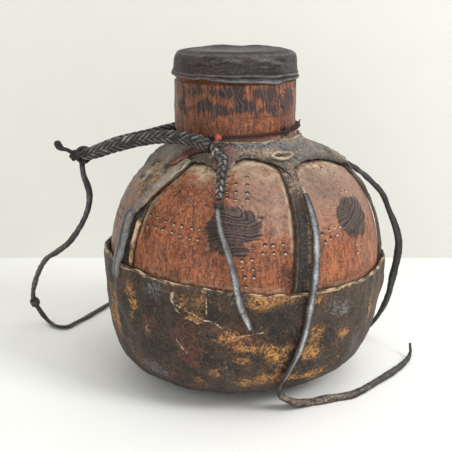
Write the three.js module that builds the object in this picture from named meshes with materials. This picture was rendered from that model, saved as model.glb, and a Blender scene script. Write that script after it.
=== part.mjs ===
// Wooden milk flask in a leather harness, with a moulded hide lid and a plaited carrying loop.
// Millimetres, +Z up, origin on the floor under the neck axis, front of the object towards -Y.
// Azimuths are degrees around Z from the front, positive towards +X.
import * as THREE from "three";

const { CatmullRomCurve3, CubicBezierCurve, QuadraticBezierCurve, Vector2, Vector3 } = THREE;
const { degToRad, euclideanModulo, lerp, smoothstep } = THREE.MathUtils;

// Fits shared by every layer
const GAP = 0.3;
const SKIN_GAP = 0.7;
const BOOT_T = 2.4;
const YOKE_T = 2.0;
const TONGUE_T = 1.2;

// Carved wooden body
const FOOT_R = 37;
const FOOT_Z = BOOT_T + GAP;
const FOOT_REACH = 29;
const FOOT_RISE = 11;
const BELLY_R = 87.2;
const BELLY_Z = 77.5;
const BELLY_FULL_DOWN = 70;
const BELLY_FULL_UP = 51;
const SHOULDER_R = 44.8;
const SHOULDER_Z = 150.2;
const SHOULDER_REACH = 11;
const SHOULDER_SLOPE = 0.38;
const NECK_R = 38.2;
const NECK_Z = 160;
const WALL = 6.5;
const FLOOR_T = 9;
const BODY_SEGMENTS = 48;

// The belly stands to one side of the neck axis, the foot to the other
const BELLY_SHIFT = 6;
const FOOT_SHIFT = 12;
const FOOT_SHIFT_RISE = 18;
const SHIFT_END_LOW = 141;
const SHIFT_END_HIGH = 166;

// Mouth and lid seat
const SEAT_Z = 192.3;
const SEAT_STEP = 1.1;
const RIM_Z = 207.6;
const RIM_ROUND = 1.6;

// Moulded hide lid
const LID_FIT = 0.4;
const LID_T = 1.5;
const LID_TOP_T = 1.8;
const LID_EDGE_R = 6;
const LID_DISH = 1.6;
const LID_HEM_Z = 193.6;
const LID_HEM_H = 5;
const LID_HEM_FLARE = 0.9;
const LID_SEGMENTS = 44;

// Harness: straps at five azimuths, yoke arches between cusps, boot below
const STRAP_W = 9.6;
const STRAP_RIM = 2.5;
const STRAP_TROUGH = 1.1;
const STRAP_TUCK = 12;
const STRAP_FOOT_Z = 73;
const STRAP_MID_Z = 113;
const STRAP_TUCK_HALF = 4.6;
const CUSP_LEFT = 118.5;
const CUSP_FRONT = 140;
const CUSP_RIGHT = 134;
const CUSP_BACK_RIGHT = 137;
const CUSP_BACK_LEFT = 134;
const CUSP_TIE = 146;
const CUSP_TAIL = 142.5;
const ARCH_TIE = 3;
const ARCH_TAIL = 9;
const ARCH_FRONT = 10;
const ARCH_RIGHT = 12;
const ARCH_BACK_RIGHT = 10;
const ARCH_BACK_LEFT = 17;
const STRAPS = [
  { name: "strap_left", azimuth: -52.6, slant: 0.03, cusp: CUSP_LEFT, rise: 0 },
  { name: "strap_front", azimuth: 22.6, slant: 0.07, cusp: CUSP_FRONT, rise: ARCH_FRONT },
  { name: "strap_right", azimuth: 84, slant: 0.02, cusp: CUSP_RIGHT, rise: ARCH_RIGHT },
  { name: "strap_back_right", azimuth: 157, slant: 0, cusp: CUSP_BACK_RIGHT, rise: ARCH_BACK_RIGHT },
  { name: "strap_back_left", azimuth: 231, slant: 0, cusp: CUSP_BACK_LEFT, rise: ARCH_BACK_LEFT },
];
const FREE_CUSPS = [
  { azimuth: -37, cusp: CUSP_TIE, rise: ARCH_TIE },
  { azimuth: -14, cusp: CUSP_TAIL, rise: ARCH_TAIL },
];
const ARCH_ROUND = 0.55;
const YOKE_TOP_Z = 158.6;
const POCKET = TONGUE_T + 3 * GAP;
const POCKET_IN = 5.6;
const POCKET_OUT = 10.5;
const RIM_MEAN_Z = 82.2;
const RIM_TILT = 2.5;
const RIM_WAVE = 2;
const RIM_WAVE_AZ = 60;
const POCKET_LOW_Z = 54;
const POCKET_FULL_Z = 63;
const BULGES = [
  { azimuth: 62, z: 21, wide: 26, tall: 13, depth: 3.6 },
  { azimuth: -86, z: 80, wide: 17, tall: 10, depth: 1.8 },
];

// Neck cord
const CORD_R = 1.3;
const CORD_Z = 162.3;
const CORD_TILT = 0.045;
const CORD_KNOT_AZ = 47;
const CORD_KNOT_HALF = 3.4;
const CORD_END_OUT = 2.6;
const CORD_END_RISE = 3.4;

// Plaited carrying loop and its tail
const PLAIT_R = 4.2;
const PLAIT_ANCHOR_OUT = 11.13;
const PLAIT_NECK_OUT = 10.1;
const TAIL_R = 3;
const THONG_R = 1.7;
const HEAVY_THONG_R = 1.9;
const TIE_R = 1.1;
const ROLL_R = 1.8;

// Flat leather strips
const TAB_W = 12;
const TAB_T = 1.2;
const TIE_STRIP_W = 3.6;
const TIE_STRIP_T = 1.5;
const CROSS_W = 8;
const CROSS_T = 1.4;
const CROSS_LIFT = 1.9;
const STRIP_BOW = 0.7;
const LOOP_R = 0.9;
const LOOP_LONG = 6;
const LOOP_SHORT = 2.6;
const LOOP_BOW = 0.2;

// Outer meridian of the wood from foot to neck, as a list with outward normals
const lower = new CubicBezierCurve(
  new Vector2(FOOT_R, FOOT_Z),
  new Vector2(FOOT_R + FOOT_REACH, FOOT_Z + FOOT_RISE),
  new Vector2(BELLY_R, BELLY_Z - BELLY_FULL_DOWN),
  new Vector2(BELLY_R, BELLY_Z),
);
const upper = new CubicBezierCurve(
  new Vector2(BELLY_R, BELLY_Z),
  new Vector2(BELLY_R, BELLY_Z + BELLY_FULL_UP),
  new Vector2(SHOULDER_R + SHOULDER_REACH, SHOULDER_Z - SHOULDER_SLOPE * SHOULDER_REACH),
  new Vector2(SHOULDER_R, SHOULDER_Z),
);
const fillet = new QuadraticBezierCurve(
  new Vector2(SHOULDER_R, SHOULDER_Z),
  new Vector2(NECK_R, SHOULDER_Z + SHOULDER_SLOPE * (SHOULDER_R - NECK_R)),
  new Vector2(NECK_R, NECK_Z),
);

function stations(curve, count) {
  return Array.from({ length: count + 1 }, (_, i) => {
    const at = curve.getPoint(i / count);
    const run = curve.getTangent(i / count);
    return { r: at.x, z: at.y, nr: run.y, nz: -run.x };
  });
}

function meridian(low, high, turn) {
  const levels = [lerp(NECK_Z, SHIFT_END_HIGH, 0.5), SHIFT_END_HIGH, SEAT_Z];
  const neck = levels.map((z) => ({ r: NECK_R, z, nr: 1, nz: 0 }));
  return [
    ...stations(lower, low),
    ...stations(upper, high).slice(1),
    ...stations(fillet, turn).slice(1),
    ...neck,
  ];
}

const fine = meridian(40, 40, 12);

function profileAt(z) {
  const next = Math.max(1, fine.findIndex((s) => s.z >= z));
  const a = fine[next - 1];
  const b = fine[next];
  const t = (z - a.z) / (b.z - a.z);
  const normal = new Vector2(lerp(a.nr, b.nr, t), lerp(a.nz, b.nz, t)).normalize();
  return { r: lerp(a.r, b.r, t), nr: normal.x, nz: normal.y };
}

// Height reached after a share of the way along the meridian from the foot up to a level
function climb(top, share) {
  const way = fine.filter((s) => s.z < top).concat({ r: profileAt(top).r, z: top });
  const lengths = way.map((s, i) => (i ? Math.hypot(s.r - way[i - 1].r, s.z - way[i - 1].z) : 0));
  let left = share * lengths.reduce((sum, l) => sum + l, 0);
  const next = lengths.findIndex((l, i) => {
    if (i && left <= l) return true;
    left -= l;
    return false;
  });
  return next < 0 ? top : lerp(way[next - 1].z, way[next].z, left / lengths[next]);
}

function shift(z) {
  const lean = BELLY_SHIFT - FOOT_SHIFT * Math.exp(-Math.max(z, 0) / FOOT_SHIFT_RISE);
  return lean * (1 - smoothstep(z, SHIFT_END_LOW, SHIFT_END_HIGH));
}

function around(azimuth, r, z, centre) {
  const a = degToRad(azimuth);
  return new Vector3(centre + r * Math.sin(a), -r * Math.cos(a), z);
}

// Point above the wood at a height on it, lifted along the surface normal
function above(azimuth, z, lift) {
  const p = profileAt(z);
  return around(azimuth, p.r + lift * p.nr, z + lift * p.nz, shift(z));
}

function normalAbove(azimuth, z) {
  const p = profileAt(z);
  return around(azimuth, p.nr, p.nz, 0);
}

function turnBetween(a, b) {
  return euclideanModulo(a - b + 180, 360) - 180;
}

// Closed skin between an outer and an inner grid; pole joins the first row into one point
function shell(columns, rows, pointAt, { wrap = false, pole = false } = {}) {
  const positions = [];
  const wide = wrap ? columns : columns + 1;
  const index = new Map();
  const keyOf = (i, j, side) => (pole && j === 0 ? `${side}` : `${side}:${wrap ? i % columns : i}:${j}`);
  for (const side of [0, 1]) {
    for (let j = 0; j <= rows; j += 1) {
      for (let i = 0; i < wide; i += 1) {
        const key = keyOf(i, j, side);
        if (!index.has(key)) {
          index.set(key, positions.length / 3);
          positions.push(...pointAt(i, j, side).toArray());
        }
      }
    }
  }
  const at = (i, j, side) => index.get(keyOf(i, j, side));
  const faces = [];
  const quad = (a, b, c, d) => {
    for (const face of [[a, b, c], [a, c, d]]) {
      if (new Set(face).size === 3) faces.push(...face);
    }
  };
  for (let i = 0; i < columns; i += 1) {
    for (let j = 0; j < rows; j += 1) {
      quad(at(i, j, 1), at(i + 1, j, 1), at(i + 1, j + 1, 1), at(i, j + 1, 1));
      quad(at(i, j, 0), at(i, j + 1, 0), at(i + 1, j + 1, 0), at(i + 1, j, 0));
    }
    quad(at(i, rows, 1), at(i + 1, rows, 1), at(i + 1, rows, 0), at(i, rows, 0));
    if (!pole) quad(at(i, 0, 0), at(i + 1, 0, 0), at(i + 1, 0, 1), at(i, 0, 1));
  }
  for (let j = 0; j < rows && !wrap; j += 1) {
    quad(at(0, j, 0), at(0, j, 1), at(0, j + 1, 1), at(0, j + 1, 0));
    quad(at(columns, j, 1), at(columns, j, 0), at(columns, j + 1, 0), at(columns, j + 1, 1));
  }
  const geometry = new THREE.BufferGeometry();
  geometry.setAttribute("position", new THREE.Float32BufferAttribute(positions, 3));
  geometry.setIndex(faces);
  geometry.computeVertexNormals();
  return geometry;
}

// Round tube along a smooth route
function tube(route, radius, steps) {
  const section = new THREE.Shape().absellipse(0, 0, radius, radius, 0, 2 * Math.PI);
  const extrudePath = new CatmullRomCurve3(route);
  return new THREE.ExtrudeGeometry(section, { steps, extrudePath, curveSegments: 4, bevelEnabled: false });
}

// Flat strip of leather lying on the body along stations of azimuth and height
function strip(route, width, thickness, lift, steps) {
  const line = new CatmullRomCurve3(route.map(([azimuth, z]) => new Vector3(azimuth, z, 0)));
  const middle = Array.from({ length: steps + 1 }, (_, j) => line.getPoint(j / steps));
  const along = new CatmullRomCurve3(middle.map((s) => above(s.x, s.y, lift)));
  return shell(2, steps, (i, j, side) => {
    const up = normalAbove(middle[j].x, middle[j].y);
    const across = along.getTangent(j / steps).cross(up).normalize();
    const rise = side * thickness;
    return above(middle[j].x, middle[j].y, lift + rise).addScaledVector(across, (i - 1) * width * 0.5);
  });
}

function knot(centre, size) {
  return new THREE.SphereGeometry(1, 12, 8).scale(...size).translate(...centre);
}

// Ring of thong closed round another thong that runs along a direction
function collar(centre, direction, inner) {
  const ring = new THREE.TorusGeometry(inner + SKIN_GAP + TIE_R, TIE_R, 8, 14);
  const turn = new THREE.Quaternion().setFromUnitVectors(new Vector3(0, 0, 1), direction.clone().normalize());
  return ring.applyQuaternion(turn).translate(...centre);
}

// Wooden body: outside up to the mouth, then down the inside to the floor
const seatR = NECK_R - SEAT_STEP;
const boreR = seatR - WALL + SEAT_STEP;
const floorZ = FOOT_Z + FLOOR_T;
const outside = meridian(10, 11, 6);
const inside = meridian(7, 7, 3)
  .map((s) => new Vector2(s.r - WALL * s.nr, s.z - WALL * s.nz))
  .filter((s) => s.y > floorZ + 1 && s.y < NECK_Z)
  .reverse();
const woodProfile = [
  new Vector2(0, FOOT_Z),
  ...outside.map((s) => new Vector2(s.r, s.z)),
  new Vector2(seatR, SEAT_Z + SEAT_STEP),
  new Vector2(seatR, RIM_Z - RIM_ROUND),
  new Vector2(seatR - RIM_ROUND, RIM_Z),
  new Vector2(boreR + RIM_ROUND, RIM_Z),
  new Vector2(boreR, RIM_Z - RIM_ROUND),
  new Vector2(boreR, NECK_Z),
  ...inside,
  new Vector2(inside.at(-1).x - 1, floorZ),
  new Vector2(0, floorZ),
];

// Lathe turned to +Z, each level moved sideways with the body
function turned(profile, segments, centreAt) {
  const geometry = new THREE.LatheGeometry(profile, segments).rotateX(Math.PI / 2);
  const position = geometry.getAttribute("position");
  for (let i = 0; i < position.count; i += 1) {
    position.setX(i, position.getX(i) + centreAt(position.getZ(i)));
  }
  return geometry;
}

// Lid: outside from the hem up to the dished top, then the inside back down
const lidIn = seatR + LID_FIT;
const lidOut = lidIn + LID_T;
const lidUnder = RIM_Z + GAP;
const lidTop = lidUnder + LID_TOP_T;
const edgeR = lidOut - LID_EDGE_R;
const edgeZ = lidTop + LID_DISH - LID_EDGE_R;
const edge = new THREE.EllipseCurve(edgeR, edgeZ, LID_EDGE_R, LID_EDGE_R, 0, Math.PI / 2);
const lidProfile = [
  new Vector2(lidIn + LID_HEM_FLARE, LID_HEM_Z),
  new Vector2(lidOut + LID_HEM_FLARE, LID_HEM_Z),
  new Vector2(lidOut + LID_HEM_FLARE, LID_HEM_Z + LID_HEM_H * 0.5),
  new Vector2(lidOut, LID_HEM_Z + LID_HEM_H),
  ...edge.getPoints(6),
  new Vector2(lidOut - 2 * LID_EDGE_R, lidTop + LID_DISH * 0.75),
  new Vector2(lidOut * 0.35, lidTop),
  new Vector2(0, lidTop),
  new Vector2(0, lidUnder),
  new Vector2(lidIn - RIM_ROUND, lidUnder),
  new Vector2(lidIn, lidUnder - RIM_ROUND),
  new Vector2(lidIn, LID_HEM_Z + LID_HEM_H),
  new Vector2(lidIn + LID_HEM_FLARE, LID_HEM_Z + LID_HEM_H * 0.5),
  new Vector2(lidIn + LID_HEM_FLARE, LID_HEM_Z),
];

// Straps
function strapAzimuth(strap, z) {
  return strap.azimuth + strap.slant * (z - STRAP_MID_Z);
}

function pocketAt(azimuth, z, scale) {
  const depth = (s) => {
    const off = Math.abs(turnBetween(azimuth, strapAzimuth(s, z)));
    const top = s.cusp + STRAP_TUCK;
    const beside = 1 - smoothstep(off * scale, POCKET_IN, POCKET_OUT);
    return beside * (1 - smoothstep(z, top + 1, top + STRAP_TUCK));
  };
  return POCKET * Math.max(...STRAPS.map(depth));
}

const STRAP_ACROSS = [-1, -0.6, -0.36, 0.36, 0.6, 1];
const STRAP_RAISED = [0.85, 1, 0, 0, 1, 0.85];

function strapSolid(strap) {
  const rows = 11;
  return shell(STRAP_ACROSS.length - 1, rows, (i, j, side) => {
    const z = lerp(STRAP_FOOT_Z, strap.cusp + STRAP_TUCK, j / rows);
    const rim = rimAt(strap.azimuth);
    const open = smoothstep(z, rim, rim + 6) * (1 - smoothstep(z, strap.cusp - 8, strap.cusp - 1.5));
    const half = Math.min(STRAP_TUCK_HALF, THREE.MathUtils.radToDeg((STRAP_W * 0.5) / profileAt(z).r));
    const full = lerp(STRAP_TROUGH, STRAP_RIM, STRAP_RAISED[i]);
    const lift = SKIN_GAP + side * lerp(TONGUE_T, full, open);
    return above(strapAzimuth(strap, z) + STRAP_ACROSS[i] * half, z, lift);
  });
}

// Yoke: a collar from the neck down to arches that meet in cusps
const strapCusps = STRAPS.map((s) => ({ ...s, azimuth: strapAzimuth(s, s.cusp) }));
const cusps = [...strapCusps, ...FREE_CUSPS].sort((a, b) => a.azimuth - b.azimuth);

function archAt(azimuth) {
  const turns = cusps.map((c) => euclideanModulo(azimuth - c.azimuth, 360));
  const from = turns.indexOf(Math.min(...turns));
  const a = cusps[from];
  const b = cusps[(from + 1) % cusps.length];
  const t = turns[from] / euclideanModulo(b.azimuth - a.azimuth, 360);
  return lerp(a.cusp, b.cusp, t) + a.rise * Math.sin(Math.PI * t) ** ARCH_ROUND;
}

function columnsWith(step, marks, nearest) {
  const kept = marks.map((m) => euclideanModulo(m, 360));
  for (let a = 0; a < 360; a += step) {
    if (kept.every((k) => Math.abs(turnBetween(a, k)) > nearest)) kept.push(a);
  }
  return kept.sort((a, b) => a - b);
}

const yokeMarks = strapCusps.flatMap((s) =>
  [-POCKET_OUT, -POCKET_IN, -1.5, 0, 1.5, POCKET_IN, POCKET_OUT].map((off) => s.azimuth + off),
);
const freeMarks = FREE_CUSPS.flatMap((c) => [c.azimuth - 2, c.azimuth, c.azimuth + 2]);
const yokeColumns = columnsWith(7, [...yokeMarks, ...freeMarks], 2.5);
const YOKE_ROWS = 6;

function yokePoint(i, j, side) {
  const azimuth = yokeColumns[i];
  const z = lerp(archAt(azimuth), YOKE_TOP_Z, j / YOKE_ROWS);
  return above(azimuth, z, SKIN_GAP + pocketAt(azimuth, z, 1) + side * YOKE_T);
}

// Boot: flat sole, rounded side and an uneven rim over the strap ends
function rimAt(azimuth) {
  const wave = RIM_WAVE * Math.cos(2 * degToRad(azimuth + RIM_WAVE_AZ));
  return RIM_MEAN_Z - RIM_TILT * Math.sin(degToRad(azimuth)) + wave;
}

const bootMarks = STRAPS.flatMap((s) => {
  const middle = strapAzimuth(s, RIM_MEAN_Z);
  return [-8, -4.2, 4.2, 8].map((off) => middle + off);
});
const bootColumns = columnsWith(8, bootMarks, 2.6);
const BOOT_SOLE_ROWS = 2;
const BOOT_SIDE_ROWS = 11;
const POCKET_SCALE_BOOT = POCKET_IN / 4.2;

function bootPoint(i, j, side) {
  const azimuth = bootColumns[i];
  if (j <= BOOT_SOLE_ROWS) {
    return around(azimuth, (FOOT_R * j) / BOOT_SOLE_ROWS, side ? 0 : BOOT_T, shift(FOOT_Z));
  }
  const t = (j - BOOT_SOLE_ROWS) / BOOT_SIDE_ROWS;
  const z = climb(rimAt(azimuth), t);
  const tuck = pocketAt(azimuth, z, POCKET_SCALE_BOOT) * smoothstep(z, POCKET_LOW_Z, POCKET_FULL_Z);
  const bag = BULGES.reduce((sum, b) => {
    const off = (turnBetween(azimuth, b.azimuth) / b.wide) ** 2 + ((z - b.z) / b.tall) ** 2;
    return sum + b.depth * Math.exp(-off);
  }, 0);
  return above(azimuth, z, lerp(GAP, SKIN_GAP, smoothstep(t, 0, 0.2)) + tuck + side * (BOOT_T + bag));
}

// Neck cord: a tilted ring left open where its knot sits
const cordReach = NECK_R + SKIN_GAP + CORD_R;
function cordPoint(azimuth) {
  const z = CORD_Z + CORD_TILT * cordReach * Math.sin(degToRad(azimuth));
  return around(azimuth, cordReach, z, shift(z));
}
const cordSteps = 40;
const cordRoute = Array.from({ length: cordSteps + 1 }, (_, i) =>
  cordPoint(lerp(CORD_KNOT_AZ + CORD_KNOT_HALF, CORD_KNOT_AZ + 360 - CORD_KNOT_HALF, i / cordSteps)),
);
const cordKnotSize = [2.1, 2.1, 2.3];
const cordKnotAt = cordPoint(CORD_KNOT_AZ).add(around(CORD_KNOT_AZ, 0.8, 0.2, 0));
const cordEndRoute = [
  around(CORD_KNOT_AZ + 4.2, cordReach + CORD_END_OUT, CORD_Z + CORD_END_RISE, 0),
  around(CORD_KNOT_AZ + 12, cordReach + CORD_END_OUT + 0.4, CORD_Z + CORD_END_RISE + 1.2, 0),
  around(CORD_KNOT_AZ + 19, cordReach + CORD_END_OUT - 0.4, CORD_Z + CORD_END_RISE + 2.2, 0),
];

// Carrying loop: out from the front anchor, folded back on itself, round to the back anchor
const loopRoute = [
  around(-17.7, NECK_R + PLAIT_ANCHOR_OUT, 157.8, 0),
  around(-27.1, NECK_R + PLAIT_NECK_OUT, 160.4, 0),
  around(-40, NECK_R + PLAIT_NECK_OUT, 161.3, 0),
  new Vector3(-44, -28.5, 160.6),
  new Vector3(-57, -21, 157.8),
  new Vector3(-76, -12.5, 152),
  new Vector3(-90, -6.8, 146.8),
  new Vector3(-97.5, 0, 144.4),
  new Vector3(-90, 6.8, 147),
  new Vector3(-76, 12.5, 152.4),
  new Vector3(-58, 20.5, 156),
  new Vector3(-44, 28.5, 158),
  around(220, NECK_R + PLAIT_NECK_OUT, 159, 0),
  around(207.1, NECK_R + PLAIT_NECK_OUT, 158.6, 0),
  around(197.7, NECK_R + PLAIT_ANCHOR_OUT, 157.8, 0),
];
const hitchSize = [2.8, 4.4, 3.6];
const hitchAt = new Vector3(-104.75, 0, 143.8);
const hitchEndRoute = [
  new Vector3(-107.3, 0, 147.4),
  new Vector3(-111, 0.2, 148.4),
  new Vector3(-113.3, 0.5, 150.4),
  new Vector3(-114, 0.6, 153.4),
];
const backKnotSize = [4.6, 5.4, 5];
const backKnotAt = around(190.7, NECK_R + PLAIT_ANCHOR_OUT + 1.94, 158.2, 0);

// Tail of the plait down the front, then a bare thong over the belly
const tailRoute = [
  new Vector3(-12.2, -48.8, 159.6),
  new Vector3(-11.6, -51.4, 155),
  above(-12.8, 145.5, 8.4),
  above(-12.4, 140, 7.4),
  above(-12.2, 135, 5.4),
  above(-12, 129.5, 5.2),
];
const frontThongRoute = [
  above(-12, 128.6, 5.2),
  above(-11.6, 122, 4.6),
  above(-10, 114, 3),
  above(-7.4, 105, 3.1),
  above(-5.2, 96, 3.8),
  above(-3.8, 87, 5.4),
  above(-2.4, 77, 5.2),
  above(-0.4, 69, 5.2),
  above(1.6, 62, 5.6),
];
const tailTieAt = frontThongRoute[0].clone().lerp(frontThongRoute[1], 0.35);
const tailTieRun = frontThongRoute[1].clone().sub(frontThongRoute[0]);

// Thong from the front strap: over the belly, down the boot, then along the floor
const LAID = HEAVY_THONG_R + GAP;
const strapThongRoute = [
  above(26.6, 131, 5.2),
  above(26.9, 123, 5.3),
  above(26.8, 113, 5.4),
  above(26, 103, 5.6),
  above(25, 93, 6.2),
  above(23.6, 83, 7.2),
  above(22.6, 73, 7),
  above(21.8, 58, 6),
  above(20, 45, 5.8),
  above(17.6, 33, 5.9),
  above(16.4, 22, 6.2),
  new Vector3(27.5, -74, 12),
  new Vector3(35, -69, 5),
  new Vector3(47, -63, LAID),
  new Vector3(60, -58, LAID),
  new Vector3(74, -52.5, LAID),
  new Vector3(92, -34, LAID),
  new Vector3(106, -18, LAID),
  new Vector3(116, -4, LAID),
  new Vector3(121.5, 6, 4),
  new Vector3(122.5, 12, 9),
];

// Thong from the right strap: stands off the belly and drops behind to the floor
const rightThongRoute = [
  above(92.5, 137, 2.5),
  above(93, 132, 4.2),
  new Vector3(89, 15, 125.5),
  new Vector3(99, 17, 115),
  new Vector3(104.5, 19, 103),
  new Vector3(110, 21, 90.5),
  new Vector3(113.2, 23, 78),
  new Vector3(112.8, 25, 66),
  new Vector3(111, 28, 51),
  new Vector3(109.5, 32, 37),
  new Vector3(106.5, 37, 24.5),
  new Vector3(100, 43, 10.5),
  new Vector3(95, 51, 3),
  new Vector3(86, 66, LAID),
  new Vector3(73, 79, LAID),
];

// Thong from the fold of the loop: hangs free, swings out and lies on the floor behind
const thongLaid = THONG_R + GAP;
const loopThongRoute = [
  new Vector3(-98.6, -0.6, 139.6),
  new Vector3(-97.6, -2, 131.6),
  new Vector3(-94.6, -2, 122),
  new Vector3(-95, -1, 112),
  new Vector3(-99.4, 1, 100.4),
  new Vector3(-110.2, 6, 84.4),
  new Vector3(-121, 15, 74.6),
  new Vector3(-130, 24, 67.2),
  new Vector3(-139, 38, 53.6),
  new Vector3(-145.5, 50, 40),
  new Vector3(-149.6, 60, 26.4),
  new Vector3(-149.2, 66, 17.6),
  new Vector3(-146.5, 70, 9.6),
  new Vector3(-141, 69, 3),
  new Vector3(-133.8, 62, thongLaid),
  new Vector3(-126.6, 60, thongLaid),
  new Vector3(-119.6, 70, thongLaid),
  new Vector3(-111.8, 85, thongLaid),
  new Vector3(-105.5, 99, thongLaid),
  new Vector3(-98, 114, thongLaid),
  new Vector3(-84, 128, thongLaid),
];
const thongKnotAt = new Vector3(-149.5, 64, 20.5);
const thongKnotRun = new Vector3(0.3, 4.4, -8.4);

// Rolled strip that lies along the left strap
const rollRoute = [
  above(-55, 115, 5.6),
  above(-55.1, 109, 5.5),
  above(-55.6, 102, 5.6),
  above(-56.2, 95, 6),
  above(-56.7, 86, 7.4),
  above(-56.9, 80, 7.4),
];

// Small thong loop standing on the yoke
const loopSteps = 24;
const LOOP_AZ = 25;
const LOOP_Z = 148.6;
const loopOut = normalAbove(LOOP_AZ, LOOP_Z);
const loopLong = around(LOOP_AZ + 90, 1, 0, 0);
const loopUp = loopOut.clone().cross(loopLong);
const loopSeat = SKIN_GAP + pocketAt(LOOP_AZ, LOOP_Z, 1) + YOKE_T + GAP;
const loopMiddle = above(LOOP_AZ, LOOP_Z, loopSeat + LOOP_R + LOOP_BOW);
class EyeCurve extends THREE.Curve {
  getPoint(t, target = new Vector3()) {
    const a = 2 * Math.PI * t;
    target.copy(loopMiddle).addScaledVector(loopLong, LOOP_LONG * Math.cos(a));
    return target.addScaledVector(loopUp, LOOP_SHORT * Math.sin(a));
  }
}

// Flat strips: azimuth, and the share of the way down the yoke from its top to a cusp
const yokeTop = SKIN_GAP + YOKE_T + GAP;
const stripLift = yokeTop + STRIP_BOW;
function downYoke(cusp, from, marks) {
  return marks.map(([azimuth, share]) => [azimuth, lerp(from, cusp, share)]);
}
const TAB_SPAN = [0.94, 0.66, 0.35];
const frontTabRoute = downYoke(CUSP_TAIL, YOKE_TOP_Z, TAB_SPAN.map((share) => [-13.4, share]));
const backTabRoute = downYoke(CUSP_TAIL, YOKE_TOP_Z, TAB_SPAN.map((share) => [188, share]));
const tieRoute = downYoke(CUSP_TIE, YOKE_TOP_Z, [[-25, 0.4], [-34, 0.51], [-43, 0.84], [-49, 1.24]]);
const crossRoute = downYoke(CUSP_LEFT, CUSP_TIE, [[-37, 0.02], [-43.6, 0.4], [-50.4, 0.85], [-54, 1.03]]);

// Every sub-part with its material: colour, roughness
const WOOD = [0x6b3a22, 0.62];
const DARK_HIDE = [0x2b2724, 0.7];
const HARNESS = [0x39352f, 0.72];
const LID_HIDE = [0x4a403a, 0.66];
const PLAIT = [0x2f2c2a, 0.6];
const THONG = [0x3b322b, 0.65];
const PINK_HIDE = [0x7a4a40, 0.75];
const TAN_HIDE = [0x8a6a44, 0.72];
const FIBRE = [0x3a2416, 0.85];

const flask = new THREE.Group();
flask.name = "milk_flask";

function add(name, geometry, [color, roughness]) {
  const mesh = new THREE.Mesh(geometry, new THREE.MeshStandardMaterial({ color, roughness, metalness: 0 }));
  mesh.name = name;
  flask.add(mesh);
}

const bootRows = BOOT_SOLE_ROWS + BOOT_SIDE_ROWS;
add("vessel_body", turned(woodProfile, BODY_SEGMENTS, shift), WOOD);
add("base_boot", shell(bootColumns.length, bootRows, bootPoint, { wrap: true, pole: true }), DARK_HIDE);
add("shoulder_yoke", shell(yokeColumns.length, YOKE_ROWS, yokePoint, { wrap: true }), HARNESS);
STRAPS.forEach((strap) => add(strap.name, strapSolid(strap), HARNESS));
add("lid_cap", turned(lidProfile, LID_SEGMENTS, () => 0), LID_HIDE);
add("neck_cord", tube(cordRoute, CORD_R, 44), FIBRE);
add("neck_cord_knot", knot(cordKnotAt, cordKnotSize), FIBRE);
add("neck_cord_end", tube(cordEndRoute, CORD_R * 0.8, 6), FIBRE);
add("handle_plait", tube(loopRoute, PLAIT_R, 48), PLAIT);
add("handle_hitch", knot(hitchAt, hitchSize), THONG);
add("hitch_end", tube(hitchEndRoute, THONG_R * 0.8, 6), THONG);
add("handle_back_knot", knot(backKnotAt, backKnotSize), PLAIT);
add("handle_tail", tube(tailRoute, TAIL_R, 14), PLAIT);
add("tail_tie", collar(tailTieAt, tailTieRun, THONG_R), THONG);
add("front_thong", tube(frontThongRoute, THONG_R, 22), THONG);
add("strap_thong", tube(strapThongRoute, HEAVY_THONG_R, 44), THONG);
add("right_thong", tube(rightThongRoute, HEAVY_THONG_R, 30), THONG);
add("loop_thong", tube(loopThongRoute, THONG_R, 44), THONG);
add("loop_thong_knot", collar(thongKnotAt, thongKnotRun, THONG_R), THONG);
add("left_strap_roll", tube(rollRoute, ROLL_R, 12), HARNESS);
add("front_tab", strip(frontTabRoute, TAB_W, TAB_T, stripLift, 5), PINK_HIDE);
add("back_tab", strip(backTabRoute, TAB_W, TAB_T, stripLift, 5), PINK_HIDE);
add("shoulder_tie", strip(tieRoute, TIE_STRIP_W, TIE_STRIP_T, stripLift, 8), PINK_HIDE);
add("cross_strap", strip(crossRoute, CROSS_W, CROSS_T, yokeTop + CROSS_LIFT, 9), TAN_HIDE);
add("yoke_loop", new THREE.TubeGeometry(new EyeCurve(), loopSteps, LOOP_R, 8, true), TAN_HIDE);

export default flask;
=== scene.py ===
"""Milk flask of carved wood in a hide harness, dressed for a studio picture.

Sizes here are millimetres and the finished meshes metres. +Z is up and the front faces -Y.
Azimuths are degrees round Z from the front, positive towards +X.
"""

import bpy
import numpy as np
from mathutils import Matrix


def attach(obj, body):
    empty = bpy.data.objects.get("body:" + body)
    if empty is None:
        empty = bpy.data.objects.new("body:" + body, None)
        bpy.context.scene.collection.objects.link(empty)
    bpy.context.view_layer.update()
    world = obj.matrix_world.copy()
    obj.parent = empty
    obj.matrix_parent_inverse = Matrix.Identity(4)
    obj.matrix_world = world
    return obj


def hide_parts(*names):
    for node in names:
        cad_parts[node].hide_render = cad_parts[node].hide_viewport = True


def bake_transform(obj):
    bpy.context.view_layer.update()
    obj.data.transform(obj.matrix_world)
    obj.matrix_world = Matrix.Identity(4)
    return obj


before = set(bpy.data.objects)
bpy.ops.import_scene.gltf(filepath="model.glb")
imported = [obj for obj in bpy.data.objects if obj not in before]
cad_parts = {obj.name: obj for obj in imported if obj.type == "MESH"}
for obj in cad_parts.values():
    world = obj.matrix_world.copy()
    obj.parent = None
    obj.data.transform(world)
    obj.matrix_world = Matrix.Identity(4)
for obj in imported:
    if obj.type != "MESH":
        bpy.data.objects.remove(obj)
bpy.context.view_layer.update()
scene = bpy.context.scene
scene.view_settings.view_transform = "Standard"

# Camera, fitted to the picture
MM = 0.001
IMAGE_PX = 452
FOCAL_PX = 859
CAMERA_AT = np.array([-5.82, -544.3, 245.0])
CAMERA_DIP = 15.22
SENSOR = 36.0

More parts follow.
